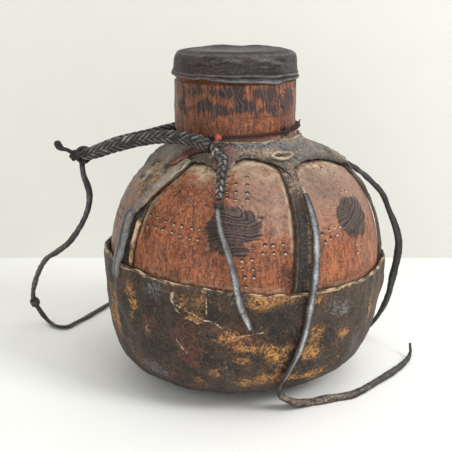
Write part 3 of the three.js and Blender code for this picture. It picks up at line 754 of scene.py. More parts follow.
def fibre_finish():
    """Cord: fine lengthwise fibres on the strand's own lay, dark brown with paler strands in patches of wear.
    """
    made, tree, shader, place = start_finish("cord_fibre")
    lay = put(tree, "UVMap", uv_map="lay").outputs[0]
    strands = put(tree, "Mapping", {"Vector": lay, "Scale": (9.0, 1.4, 1.0)}).outputs[0]
    fibres = noise(tree, strands, 2.6, 5.0, 0.65)
    worn = noise(tree, place, 180.0, 5.0, 0.6)
    colour = coat(
        tree, tone(24, 17, 14),
        (spread(tree, fibres, 0.3, 0.7), (70, 51, 40)),
        (spread(tree, worn, 0.55, 0.78, 0.0, 0.4), (116, 94, 76)))
    end_finish(tree, shader, colour, 0.85, fibres, 0.6, FIBRE_BUMP)
    return made


WOOD = wood_finish()
DOTS = dot_finish()
BOOT = hide_finish("boot_hide", (30, 25, 22), (70, 55, 43), (124, 103, 80), (200, 172, 136), relief=0.85,
                   shine=(0.4, 0.68), gleam=0.32)
YOKE = hide_finish("yoke_hide", (56, 51, 47), (124, 112, 99), (186, 172, 152), (198, 178, 150), relief=0.95,
                   shine=(0.34, 0.6))
STRAP = hide_finish("strap_hide", (40, 33, 28), (82, 67, 55), (126, 108, 92), (196, 164, 128), relief=0.7)
ROLL = hide_finish("rolled_hide", (84, 83, 84), (118, 118, 119), (152, 151, 149), (166, 152, 134), relief=0.6,
                   shine=(0.3, 0.5))
LID = hide_finish("lid_hide", (35, 33, 33), (65, 61, 60), (108, 102, 99), (118, 106, 98), relief=0.8,
                  shine=(0.3, 0.56), wear=0.5, stretch=3.2, gleam=0.14)
PLAIT = hide_finish("plait_hide", (22, 19, 18), (50, 45, 42), (106, 98, 92), (122, 113, 106),
                    rub_highlight=(178, 172, 166),
                    relief=0.8, shine=(0.34, 0.56), wear=0.6, patches=90.0, gleam=0.4)
THONG = hide_finish("dark_thong", (24, 21, 19), (46, 41, 38), (78, 72, 68), (92, 80, 70), rub_highlight=(186, 188, 194),
                    relief=0.7, shine=(0.3, 0.56), wear=0.4, patches=80.0, gleam=0.28)
PALE_THONG = hide_finish("pale_thong", (36, 32, 30), (64, 58, 55), (104, 97, 93), (116, 102, 92),
                         rub_highlight=(196, 197, 202),
                         relief=0.5, shine=(0.28, 0.52), wear=0.4, patches=80.0)
PINK = hide_finish("pink_hide", (76, 54, 50), (120, 91, 85), (156, 131, 125), (166, 140, 128), relief=0.9,
                   wear=0.6)
RED = hide_finish("red_hide", (52, 28, 24), (92, 50, 43), (136, 90, 78), (164, 106, 94), relief=0.8, wear=0.7)
TAN = hide_finish("tan_hide", (92, 84, 75), (140, 129, 114), (180, 167, 148), (204, 180, 144), relief=0.9,
                  wear=0.8)
CORAL = hide_finish("coral_hide", (112, 44, 40), (160, 70, 64), (196, 112, 102), (196, 130, 118), relief=0.7)
FIBRE = fibre_finish()

# Cords first: routes over the body are azimuth, height and lift, then plain points

UP = np.array([0.0, 0.0, 1.0])
LEAST_Z = 0.1
THONG_CUP = 0.05


def route(over=(), free=(), step=0.8):
    """Smooth route: some points over the skin, then some free in space."""
    return smooth_route([above(*p) for p in over] + [np.array(p, float) for p in free], step)


def settling(line, facing, low, high):
    """Facing of a thong: as given in the air, turned up where it comes down to the floor."""
    air = ease(line[:, 2], low, high)[:, None]
    return facing * air + UP * (1 - air)


def add_thong(name, node, line, facing, width, thick, finish, ends, seed, twist, rubbed_highlight, girth,
              dust=((0, 0), (1, 0)), sooty=0.0, body="vessel"):
    """Flat thong: a rounded strip swept along its route, with a wandering girth, a twist and tapered ends."""
    t = np.linspace(0, 1, len(line))
    turns = along(t, twist) + 9 * ripple(line, 34, seed)
    scale = tapered(len(line), *ends) * along(t, girth) * (1 + 0.1 * ripple(line, 16, seed + 1))
    x, y = flat_section(width, thick)
    grid = swept(line, facing, (x, y), scale, turns, THONG_CUP)
    grid = grid + 0.12 * ripple(grid, 5, seed + 2)[..., None] * unit(grid - line[:, None])
    grid[..., 2] = np.maximum(grid[..., 2], LEAST_Z)
    # Painted highlight along the top face, over rubbing wear; pale cut edges and dust where it lies on the
    # floor.
    face = ease(y, 0, thick * 0.4) * hump(x, 0.1 * width, 0.25 * width)
    skin = surface(
        grid,
        edge=0.75 * np.abs(x / width * 2) ** 5,
        worn=face * (along(t, rubbed_highlight) * (0.8 + 0.3 * ripple(line, 12, seed + 3)))[:, None],
        tan=along(t, dust)[:, None] * ease(y, -0.3 * thick, 0.2 * thick),
        soot=sooty * (0.7 + 0.6 * ripple(line, 14, seed + 4))[:, None])
    return add_piece(name, [skin], finish, (node,), body)


tail_line = route(free=[
    (-12.2, -48.8, 159.6), (-11.6, -51.4, 155), above(-12.8, 145.5, 8.4), above(-12.4, 140, 7.4),
    above(-12.2, 135, 5.4), above(-12, 129.5, 5.2)], step=0.5)
tail_scale = along(np.linspace(0, 1, len(tail_line)), ((0, 1.05), (0.3, 1.0), (1, 0.82)))
tail = add_piece("tail_plait",
                 plait(tail_line, skin_normal(tail_line), 1.7, 0.9, 12.5, (3.3, 1.6), tail_scale), PLAIT,
                 ("handle_tail",))

front_line = route([
    (-12, 128.6, 5.2), (-11.6, 122, 4.6), (-10, 114, 3), (-7.4, 105, 3.1), (-5.2, 96, 3.8), (-3.8, 87, 5.4),
    (-2.4, 77, 5.2), (-0.4, 69, 5.2), (1.6, 62, 5.6)])
front_thong = add_thong(
    "front_thong_strip", "front_thong", front_line, skin_normal(front_line), 4.4, 2.3, PALE_THONG,
    (0.5, 0.75), 11,
    twist=((0, 0), (0.2, 25), (0.5, -14), (1, 10)),
    rubbed_highlight=((0, 0.2), (0.2, 0.8), (0.6, 1.2), (1, 1.6)),
    girth=((0, 0.72), (0.3, 0.74), (0.65, 0.95), (1, 1)))

strap_line = route([
    (26.6, 131, 5.2), (26.9, 123, 5.3), (26.8, 113, 5.4), (26, 103, 5.6), (25, 93, 6.2), (23.6, 83, 7.2),
    (22.6, 73, 7), (21.8, 58, 6), (20, 45, 5.8), (17.6, 33, 5.9), (16.4, 22, 6.2)], [
    (27.5, -74, 12), (35, -69, 5), (47, -63, 2.2), (60, -58, 2.2), (74, -52.5, 2.2), (92, -34, 2.2),
    (106, -18, 2.2), (116, -4, 2.2), (121.5, 6, 4), (122.5, 12, 9)])
strap_thong = add_thong(
    "strap_thong_strip", "strap_thong", strap_line, settling(strap_line, skin_normal(strap_line), 3, 20), 4.9,
    2.8, THONG, (0.8, 0.4), 21,
    twist=((0, 0), (0.3, 8), (0.47, 60), (0.54, -8), (0.6, -16), (0.7, -14), (1, 0)),
    rubbed_highlight=((0, 0.4), (0.08, 1.3), (0.38, 1.9), (0.47, 0.2), (0.52, 0.35), (0.62, 0.3), (1, 0.2)),
    girth=((0, 0.85), (0.15, 1.05), (0.36, 0.85), (0.46, 0.7), (0.505, 1.35), (0.56, 1.3), (0.66, 1.05),
           (1, 0.85)),
    dust=((0, 0), (0.47, 0), (0.51, 0.75), (0.62, 0.6), (0.78, 0.25), (1, 0.1)))

right_line = route([(92.5, 137, 2.5), (93, 132, 4.2)], [
    (89, 15, 125.5), (99, 17, 115), (104.5, 19, 103), (110, 21, 90.5), (113.2, 23, 78), (112.8, 25, 66),
    (111, 28, 51), (109.5, 32, 37), (106.5, 37, 24.5), (100, 43, 10.5), (95, 51, 3), (86, 66, 2.2),
    (73, 79, 2.2)])
right_thong = add_thong(
    "right_thong_strip", "right_thong", right_line, settling(right_line, np.array([0.55, -0.8, 0.25]), 2, 16),
    4.8, 2.7, THONG, (0.9, 0.4), 31,
    twist=((0, 10), (0.4, -25), (0.7, 15), (1, 0)),
    rubbed_highlight=((0, 0.12), (1, 0.1)),
    girth=((0, 0.75), (0.25, 0.8), (0.42, 1.1), (0.7, 1.0), (1, 0.8)), sooty=1.25)

loop_line = route(free=[
    (-98.6, -0.6, 139.6), (-97.6, -2, 131.6), (-94.6, -2, 122), (-95, -1, 112), (-99.4, 1, 100.4),
    (-110.2, 6, 84.4), (-121, 15, 74.6), (-130, 24, 67.2), (-139, 38, 53.6), (-145.5, 50, 40),
    (-149.6, 60, 26.4), (-149.2, 66, 17.6), (-146.5, 70, 9.6), (-141, 69, 3), (-133.8, 62, 2),
    (-126.6, 60, 2), (-119.6, 70, 2), (-111.8, 85, 2), (-105.5, 99, 2), (-98, 114, 2), (-84, 128, 2)])
loop_thong = add_thong(
    "loop_thong_strip", "loop_thong", loop_line, settling(loop_line, np.array([-0.35, -0.9, 0.2]), 2, 14),
    4.0, 2.3, THONG, (0.9, 0.35), 41,
    twist=((0, 0), (0.15, 40), (0.3, -30), (0.5, 20), (1, 0)),
    rubbed_highlight=((0, 0.2), (0.4, 0.3), (1, 0.15)),
    girth=((0, 0.95), (1, 0.9)), dust=((0, 0.2), (1, 0.3)), body=None)


def wound(centre, run, radius, thick, turns, rise):
    """Turns of thin thong round a direction: a helix of given radius and rise, swept by a flat section."""
    run = unit(np.asarray(run, float))
    side = unit(np.cross(run, (0.3, 0.9, 0.2)))
    other = np.cross(run, side)
    a = np.linspace(0, 2 * np.pi * turns, int(40 * turns))[:, None]
    line = centre + radius * (side * np.cos(a) + other * np.sin(a)) + run * rise * (a / a[-1] - 0.5)
    return surface(swept(line, line - centre, flat_section(2.2 * thick, 1.6 * thick, 10, 0.8)))


tie_run = above(-11.6, 122, 4.6) - front_line[0]
tail_tie = add_piece("tail_tie_wrap", [wound(front_line[0] + 0.35 * tie_run, tie_run, 2.35, 0.7, 2.2, 2.2)],
                     PLAIT, ("tail_tie",))
thong_knot_at = np.array([-149.5, 64, 20.5])
thong_knot = add_piece("loop_thong_wrap", [
    wound(thong_knot_at, (0.3, 4.4, -8.4), 2.7, 1.15, 2.3, 3.6),
    knot(thong_knot_at, (3.2, 3.2, 3.4), 1.1)], PALE_THONG, ("loop_thong_knot",))

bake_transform(loop_thong)

# Wooden flask

PANEL_CIRCLES = (
    (-5, 115.6, 17.4, 15), (54, 115.6, 16.4, 14), (120, 113, 15, 13), (194, 113, 15, 13), (268, 112, 15, 13),
)


def wood_relief(azimuth, z):
    """Hand-carved unevenness: slow swells and small facets, none at the seat; burnt circles lie lower."""
    nominal = above(azimuth, z, 0)
    keep = 1 - ease(z, 183, 190)
    return keep * lumps(nominal, 3, (0.22, 34), (0.07, 9)) - 0.12 * panel_burn(azimuth, z)


def panel_burn(azimuth, z):
    """Burnt circles: one inside an oval whose edge wanders, falling off over a short rim."""
    r, nr, _ = wood_at(z)
    wander = lumps(above(azimuth, z, 0), 8, (0.09, 14), (0.04, 4))
    total = 0 * azimuth
    for a, level, wide, tall in PANEL_CIRCLES:
        off = np.hypot(np.radians(turn_from(azimuth, a)) * r / wide, (z - level) / nr / tall) + wander
        total = np.maximum(total, 1 - ease(off, 0.72, 1.14))
    return total


# By picture pixels: burning on the neck, dark patches partly painted as shade beside the straps, places where
# burning has worn away, pale bloom
NECK_BURN_PX = (
    (205, 107, 10, 6, 0.9), (219, 110, 7, 6, 0.8), (247, 106, 12, 6, 0.7), (288, 99, 9, 10, 0.9),
    (262, 91, 18, 5, 0.5), (215, 93, 8, 4, 0.6), (236, 97, 9, 6, 0.45), (274, 109, 16, 4, 0.6),
    (182, 105, 10, 6, 0.5), (229, 90, 10, 4, 0.5), (270, 98, 8, 6, 0.45), (195, 90, 12, 4, 0.25),
)
SMUDGE_AND_SHADE_PX = (
    (288, 272, 9, 18, 0.85), (262, 285, 15, 5, 0.5), (149, 230, 9, 16, 0.45), (172, 277, 14, 5, 0.6),
    (222, 268, 5, 12, 0.4), (199, 263, 6, 5, 0.5), (206, 242, 6, 12, 0.4), (366, 262, 8, 14, 0.35),
    (330, 286, 14, 4, 0.4), (308, 174, 14, 12, 0.62), (324, 190, 16, 10, 0.35), (214, 238, 9, 16, 1.35),
    (160, 252, 10, 8, 0.3), (208, 246, 8, 10, 0.9), (351, 216, 9, 16, 0.55), (152, 208, 8, 8, 0.5),
)
FADED_PX = (
    (246, 244.5, 5.5, 3, 0.9), (255, 242, 4, 3, 0.6), (243, 229, 10, 2.5, 0.42), (238, 220, 13, 2, 0.32),
)
BLOOM_PX = ((205, 173, 6, 7, 0.8), (196, 168, 8, 4, 0.5), (262, 178, 12, 5, 0.25), (277, 215, 5, 20, 0.3))
# Eyes of the grain: azimuth, height, start of the first line, how far it is drawn out sideways
GRAIN_EYES = (
    (-2, 98, 0, 2.4), (42, 127, 0, 1.3), (-36, 121, 3, 0.8), (24, 140, 6, 1.6), (84, 92, 6, 1.0),
    (120, 108, 0, 1.6), (158, 98, 6, 1.0), (194, 108, 0, 2.0), (232, 98, 6, 1.0), (268, 112, 0, 1.2),
)
EYE_BLEND = 7.0
NECK_MIRROR_AZ = -95


def layer_distance(azimuth, z):
    """Distance through the growth layers in millimetres.

    On the belly a soft minimum of the ways to several eyes, minus its width times the log of summed falling
    exponentials, so lines ring the eyes; on the neck the way round it plus a slant, so lines run down it.
    """
    r, nr, _ = wood_at(z)
    at = above(azimuth, z, 0)
    total = 0
    for a, level, start, drawn in GRAIN_EYES:
        off = np.hypot(np.radians(turn_from(azimuth, a)) * r / drawn,
                       1.2 * (z - level) / np.maximum(nr, 0.35))
        total = total + np.exp(-(off + start) / EYE_BLEND)
    belly = lumps(at, 12, (1.8, 30), (0.6, 11)) - EYE_BLEND * np.log(total)
    slant = 0.75 * ease(turn_from(azimuth, 10), 0, 30) * ease(turn_from(azimuth, 90), 0, -12)
    neck = np.radians(np.abs(turn_from(azimuth, NECK_MIRROR_AZ))) * NECK_R + slant * (z - NECK_Z)
    neck = neck + lumps(at, 14, (1.4, 14), (0.8, 5))
    share = ease(z, 148, 156)
    return belly * (1 - share) + neck * share


def make_wood():
    """Lathe form in one grid: the outside by the meridian with relief, then rim, bore and hollow."""
    turn = np.linspace(0, 360, 440, endpoint=False)[None]
    levels = np.concatenate([np.linspace(FOOT_Z, 70, 26), np.linspace(72, 150, 84),
                             np.linspace(151, SEAT_Z, 38)])
    levels = levels[:, None]
    outside = above(turn, levels, wood_relief(turn, levels))
    bore = rings(turn, [
        (SEAT_R + 0.5, 192.9), (SEAT_R, 193.4), (SEAT_R, 200), (SEAT_R, 205.6), (36.6, 207), (35.5, RIM_Z),
        (33.4, RIM_Z), (32.2, 207), (BORE_R, 205.8), (BORE_R, 190), (BORE_R, 175), (BORE_R, 164)])
    inner = np.concatenate([np.linspace(160, 146, 12), np.linspace(144, 16, 40)])[:, None]
    hollow = above(turn, inner, -WALL)
    hollow = hollow[hollow[:, 0, 2] > FLOOR_Z + 0.4]
    floor = rings(turn, [(r, FLOOR_Z) for r in (40, 20, 3)])
    base = rings(turn, [(r, FOOT_Z) for r in (3, 20, 33)])
    grid = np.concatenate([base, outside, bore, hollow, floor])
    belly, under_cord = levels < 150, levels < 152
    flames = painted(turn, levels, NECK_BURN_PX) + 0.26 + 0.16 * ripple(outside, 9, 6)
    hidden = 0.45 + 0.5 * ripple(outside * (1, 1, 2.2), 30, 6) + 0.4 * hump(levels, 178, 3.2)
    flames = np.where(np.abs(turn_from(turn, 0)) < 80, flames, hidden)
    band = ease(levels + 0.4 * ripple(outside, 26, 5), 172.6, 173.6) * np.clip(flames, 0.1, 1)
    scorched = np.clip(panel_burn(turn, levels) - painted(turn, levels, FADED_PX), 0, 1)
    below = arch_height(turn) - levels + 0.4 * ripple(outside, 12, 7)
    to_strap = np.min([np.abs(turn_from(turn, strap_azimuth(s, levels))) for s in STRAPS], axis=0)
    to_strap = np.radians(to_strap) * wood_at(levels)[0]
    close = 1.2 * hump(below, 2.0, 1.0) + 0.35 * hump(below, 5, 4) * (below > 0)
    close = np.maximum(close, hump(to_strap, 6.2, 0.8) * ease(levels, 90, 112)) * (below > 0.2)
    front = turn_from(turn, 4)
    rightward = 1 - 0.75 * ease(front, -4, -14) * (front < 0) * (front > -70)
    limb = ease(turn_from(turn, -58), 0, -6) * ease(turn_from(turn, -58), -70, -60) * under_cord
    # Darker places: painted shade beside the straps and in a thin line just under the yoke's edge, a dark
    # line at the band's edge, a darker left limb and neck, and the listed patches, partly painted shade
    # beside the straps.
    dark_places = np.broadcast_arrays(
        (1 - ease(to_strap, 3.2, 6.4)) * belly,
        0.9 * hump(below, 0.2, 1.2),
        0.8 * hump(levels, 173.2, 0.8),
        0.34 * limb,
        0.6 * ease(levels, 160, 166) * (1 - 0.75 * toward(turn, 45, 30)),
        0.75 * painted(turn, levels, SMUDGE_AND_SHADE_PX) * belly)
    marks = set_in(len(base), len(grid), {
        "burn": np.maximum(scorched, band),
        "glow": 0.45 * toward(turn, 50, 22) * hump(levels, 92, 15) * belly,
        "layer": layer_distance(turn, levels),
        "residue": close + painted(turn, levels, BLOOM_PX) * belly
                   + 0.4 * hump(levels, boot_rim(turn) + 2.0, 1.4),
        "soot": np.max(dark_places, axis=0),
        "streak": 0.14 + 0.2 * ease(levels, 150, 160) * toward(turn, 48, 26),
        # Pink painted sheen over the upper belly, weaker left of the front; the same tone greys the left limb
        # and tints a band at the yoke's top edge.
        "veil": (0.15 + 0.85 * ease(levels, 98, 132)) * rightward * under_cord + 0.7 * limb
                + 0.8 * hump(levels, 158.6, 3.4),
    })
    marks["soot"][len(base) + len(levels):] = 0.5
    return surface(grid, **marks)


add_piece("flask_wood", [make_wood()], WOOD, ("vessel_body",))

# Rows of drilled dots, by their places in the picture and by a like layout on the hidden panels
DOT_PX = [
    (227, 177), (227, 184), (227, 192), (227, 198), (236, 184), (236, 192), (236, 200), (247.5, 177),
    (247.5, 185), (247.5, 193), (247.5, 199.5), (151, 215), (158, 217), (166, 221), (174, 224), (182, 226),
    (192, 228), (199, 229), (148, 226), (156, 227), (163, 229), (172, 232), (180, 235.5), (190, 238.5),
    (198, 239.5), (265, 245), (273, 245), (283, 244), (263, 253.5), (274, 253), (285.6, 253), (242, 260.6),
    (252, 259.6), (243, 269), (253, 269), (245, 277), (254, 277), (246, 286.6), (310, 163), (316, 162.5),
    (315, 169), (322, 168.5), (329, 171), (335, 174.4), (337.5, 186), (342, 192), (346, 191), (322, 234),
    (329, 230), (335, 228), (340, 226.5), (325, 242), (330.5, 238), (337, 235), (356.5, 244), (361, 243),
    (358, 252.5),
]
CROSS_MM = [(dx, dy) for dx in (-4.6, 1.2, 6.0) for dy in (19, 23.4, 27.8)]
CROSS_MM += [(side * dx, dy) for side in (-1, 1) for dx in (21, 25.6, 30.2) for dy in (-2.6, 2.8)]
CROSS_MM += [(dx, -dy) for dx in (-2.6, 2.8) for dy in (18, 22.8, 27.4)]
DOT_R = 1.2


def make_dots():
    """Each dot is a small crater: rings of falling radius on the tangent plane, raised lip, shallow pit."""
    front, level = seen_on_wood(DOT_PX)
    places = list(zip(front, level))
    for a, z, _, _ in PANEL_CIRCLES[2:]:
        r, nr, _ = wood_at(z)
        places += [(a + np.degrees(dx / r), z + dy * nr) for dx, dy in CROSS_MM]
    radius = np.array([1.3, 1.2, 1.02, 0.8, 0.5, 0.2])[:, None]
    height = np.array([-0.35, 0.06, 0.15, 0.09, 0.05, 0.05])[:, None]
    a = np.linspace(0, 2 * np.pi, 12, endpoint=False)[None]
    made = []
    for k, (azimuth, z) in enumerate(places):
        wide = 1 + 0.14 * np.sin(5.1 * k)
        middle = above(azimuth, z, wood_relief(np.array([azimuth]), np.array([z]))[0])
        out = skin_normal(middle)
        right = around(azimuth + 90, 1.0, 0.0)
        up = np.cross(out, right)
        flat = radius * wide
        grid = middle + (flat * np.cos(a))[..., None] * right + (flat * np.sin(a))[..., None] * up
        grid = grid + (height + 0 * a)[..., None] * out
        filled = 0.5 * (38 < azimuth < 75)
        made.append(surface(grid, rho=radius / DOT_R, upward=np.sin(a) * radius / DOT_R - filled))
    return made


add_piece("drilled_dots", make_dots(), DOTS)

# Boot

BOOT_SWELLS = ((62, 24, 26, 12, 1.0), (-86, 80, 17, 10, 1.0))
OCHRE_PX = (
    (130, 290, 5, 9, 0.8), (135, 303, 6, 10, 0.8), (147, 329, 5, 8, 0.8), (132.6, 314, 5, 8, 0.6),
    (183, 303, 9, 12, 0.55), (202, 303, 6, 14, 0.65), (197, 318, 10, 5, 0.8), (221, 310, 7, 6, 0.6),
    (261, 303, 13, 9, 1.1), (247, 348, 15, 5, 0.9), (277, 352, 16, 12, 1.0), (243, 361, 8, 5, 0.7),
    (243, 382, 26, 4, 0.5), (266, 376, 22, 6, 0.6), (197, 377, 6, 4, 0.6), (216, 371, 4, 5, 0.7),
    (232, 338, 14, 4, 0.8), (316, 300, 9, 4, 0.9), (345, 331, 7, 5, 0.9), (316, 333, 13, 9, 0.9),
    (313, 351, 10, 9, 0.9), (299, 374, 27, 5, 0.6), (370, 304, 4, 14, 0.8), (347, 362, 14, 6, 0.7),
    (120, 345, 5, 16, 0.4), (112, 300, 3, 20, 0.5),
)
RED_PX = (
    (186, 330, 18, 24, 0.8), (192, 352, 14, 16, 0.7), (236, 346, 15, 14, 0.8), (174, 372, 22, 8, 0.7),
    (245, 338, 14, 8, 0.7), (120, 330, 8, 22, 0.5), (264, 342, 14, 6, 0.6), (292, 342, 9, 14, 0.6),
    (285, 368, 20, 8, 0.5), (302, 318, 6, 12, 0.5),
)
SOOT_BOOT_PX = (
    (288, 313, 15, 16, 0.8), (259, 359, 10, 6, 0.8), (330, 318, 16, 12, 0.5), (225, 318, 16, 10, 0.6),
    (320, 362, 26, 7, 0.6), (150, 350, 16, 16, 0.4),
)
SLATE_BOOT_PX = (
    (153, 290, 14, 10, 0.7), (155, 366, 24, 10, 0.75), (240, 301, 12, 8, 0.6), (340, 308, 24, 13, 0.62),
    (232, 369, 10, 6, 0.5), (354, 340, 12, 16, 0.7), (130, 330, 8, 16, 0.4), (310, 366, 20, 6, 0.4),
)
CRACKS_PX = (
    ((172, 293), (173, 302), (181, 308), (192, 314), (202, 319), (216, 324), (226, 331), (233, 337)),
    ((233, 337), (243, 336), (254, 334), (265, 332)), ((176, 339), (180, 345), (185, 350), (188, 354)),
    ((174, 291), (173, 302), (178, 311), (188, 318), (198, 323)), ((206, 293), (206.5, 303), (206, 315)),
)
PEEL_PX = ((190, 305, 15, 11, 1.0),)
BOOT_PX = {"ochre": OCHRE_PX, "red": RED_PX, "soot": SOOT_BOOT_PX, "slate": SLATE_BOOT_PX}
BOOT_LIFT = 3.1


def crack_line(azimuth, z, pixels, half):
    """Thin line through picture pixels on the boot: a bell of the distance to its nearest point."""
    r = wood_at(z)[0]
    near = np.inf
    for a, level in zip(*seen_on_wood(pixels, BOOT_LIFT)):
        near = np.minimum(near, (np.radians(turn_from(azimuth, a)) * r) ** 2 + (z - level) ** 2)
    return np.exp(-near / half**2)


def make_boot():
    """Boot skin in one grid: sole, side by equal shares of the meridian, rounded rim, inside.

    The lift adds the strap pockets, broad swells, puckers under the rim and the edge of a peeled patch.
    """
    turn = np.concatenate([np.linspace(-100, 100, 460), np.linspace(101, 259, 170)])[None]
    nominal = around(turn, 80.0, 80.0)
    rim = boot_rim(turn) + lumps(nominal, 21, (0.45, 17), (0.2, 5))
    top = np.interp(rim, MERIDIAN[:, 1], MERIDIAN_WAY)
    share = np.concatenate([np.linspace(0, 0.3, 20), np.linspace(0.31, 1, 96)])[:, None]
    z = np.interp(share * top, MERIDIAN_WAY, MERIDIAN[:, 1])
    under = 0.3 + 0.4 * ease(share, 0, 0.2) + 0.8 * pocket(turn, z, 5.6 / 4.2) * ease(z, 48, 66)
    at = above(turn, z, under + BOOT_T)
    swell = sum(d * np.exp(-((turn_from(turn, a) / w) ** 2) - ((z - level) / tall) ** 2)
                for a, level, w, tall, d in BOOT_SWELLS)
    puckers = ripple(at * (1, 1, 0.3), 13, 23) * ease(z, 40, 80) * 0.35
    uneven = lumps(at, 24, (0.34, 21), (0.14, 7), (0.06, 3.4))
    peel = painted(turn, z, PEEL_PX, BOOT_LIFT) + 0.1 * ripple(at, 6, 27)
    curl = 0.3 * np.exp((z - rim) / 2.4) * (1 + 0.8 * ripple(at, 12, 28))
    lift = under + BOOT_T + (swell + puckers + uneven + curl) * ease(share, 0.02, 0.2)
    split = np.max([crack_line(turn, z, smooth_route(crack, 1.0), 0.4) for crack in CRACKS_PX], axis=0)
    lift = lift - 0.4 * ease(peel, 0.3, 0.45) + 0.35 * split
    outer = above(turn, z, lift)
    bend = np.linspace(0, np.pi, 9)[1:-1][:, None]
    half = (lift[-1] - under[-1]) / 2
    edge = above(turn, rim + half * 0.9 * np.sin(bend), under[-1] + half + half * np.cos(bend))
    inner = above(turn, z[::-8], under[::-8])
    sole = rings(turn, [(r, 0) for r in (3, 14, 26, 35)], FOOT_Z)
    floor = rings(turn, [(r, BOOT_T) for r in (35, 20, 3)], FOOT_Z)
    grid = np.concatenate([sole, outer, edge, inner, floor])
    side = {label: painted(turn, z, places, BOOT_LIFT) for label, places in BOOT_PX.items()}
    away = np.maximum(0.5 * ripple(at, 40, 29), 0) * (np.abs(turn_from(turn, 10)) > 70)
    side["red"] += 0.3 * blotches(at, 30, 33) + 0.3 * (1 - ease(z, 8, 30))
    # Dark blotches, and painted shade darkening the foot where the boot turns under.
    side["soot"] += 0.35 * blotches(at, 24, 34) + 0.75 * (1 - ease(z, 4, 26))
    side["ochre"] += away + 0.1 * ease(peel, 0.3, 0.5) + 0.06 + 0.18 * ripple(at, 26, 35)
    side["ochre"] *= ease(z, 3, 16)
    side["pale"] = split * np.maximum(1.0 + 0.6 * ripple(at, 5, 30), 0.85)
    side["edge"] = 0.62 * np.exp((z - rim) / 0.75) * (1 + 0.4 * ripple(at, 14, 31))
    side["tan"] = 0.55 * np.exp((z - rim) / 1.6)
    marks = set_in(len(sole), len(grid), side)
    lip = len(sole) + len(z) + np.arange(len(edge))
    marks["edge"][lip] = 0.72 * hump(bend, 0.8, 0.5) * (1 + 0.4 * ripple(edge, 9, 32))
    # Painted shade on the inner half of the rolled rim.
    marks["soot"][lip] = 0.6 * ease(bend, 1.2, 2.0)
    return surface(grid, **marks)


add_piece("boot_skin", [make_boot()], BOOT, ("base_boot",))

# Yoke

TAN_PX = (
    (240, 155, 12, 4, 0.6), (262, 156, 12, 4, 0.6), (146, 174, 9, 8, 0.7), (160, 166, 9, 5, 0.6),
    (230, 150, 8, 5, 0.5), (318, 152, 14, 4, 0.4), (341, 160, 8, 6, 0.7), (128, 200, 5, 10, 0.6),
    (281, 156, 11, 6, 0.8),
)
RUST_PX = (
    (138, 190, 7, 9, 1.0), (149, 173, 8, 5, 0.8), (134, 197, 5, 7, 0.9), (160, 162, 6, 4, 0.5),
    (341, 162, 6, 5, 0.4), (152, 168, 5, 4, 0.5), (330, 154, 8, 3, 0.4), (145, 183, 8, 5, 0.9),
    (240, 156, 10, 3, 0.5), (256, 158, 8, 3, 0.5),
)
PALE_PX = (
    (138, 184, 4, 5, 0.9), (147, 174, 6, 3, 0.9), (133, 200, 3, 7, 0.8), (143, 180, 3, 4, 0.6),
    (154, 168, 5, 3, 0.6), (272, 159, 8, 2.5, 0.6), (246, 158, 9, 2, 0.5), (232, 152, 4, 4, 0.4),
    (300, 166, 4, 6, 0.5),
)
# Bluish-grey painted sheen along the top of the yoke, and a few grey patches lower down.
SLATE_SHEEN_PX = (
    (264, 147.5, 22, 4, 1.25), (302, 148, 16, 5, 1.2), (320, 152, 12, 4, 0.7), (238, 147, 10, 3, 0.5),
    (286, 150, 10, 4, 0.6), (150, 186, 5, 4, 0.7), (139, 190, 4, 3, 0.6), (164, 157, 9, 5, 0.7),
    (306, 160, 5, 5, 0.5),
)
SOOT_PX = (
    (262, 148, 18, 3, 0.45), (236, 147, 10, 4, 0.5), (306, 146, 14, 5, 0.6), (325, 150, 10, 5, 0.6),
    (155, 158, 16, 5, 0.6), (150, 180, 8, 4, 0.5), (152, 166, 10, 4, 0.8), (141, 180, 8, 5, 0.7),
    (164, 170, 7, 3, 0.7),
)
YOKE_PX = {"tan": TAN_PX, "ochre": RUST_PX, "pale": PALE_PX, "slate": SLATE_SHEEN_PX, "soot": SOOT_PX}
YOKE_LIFT = 3.0


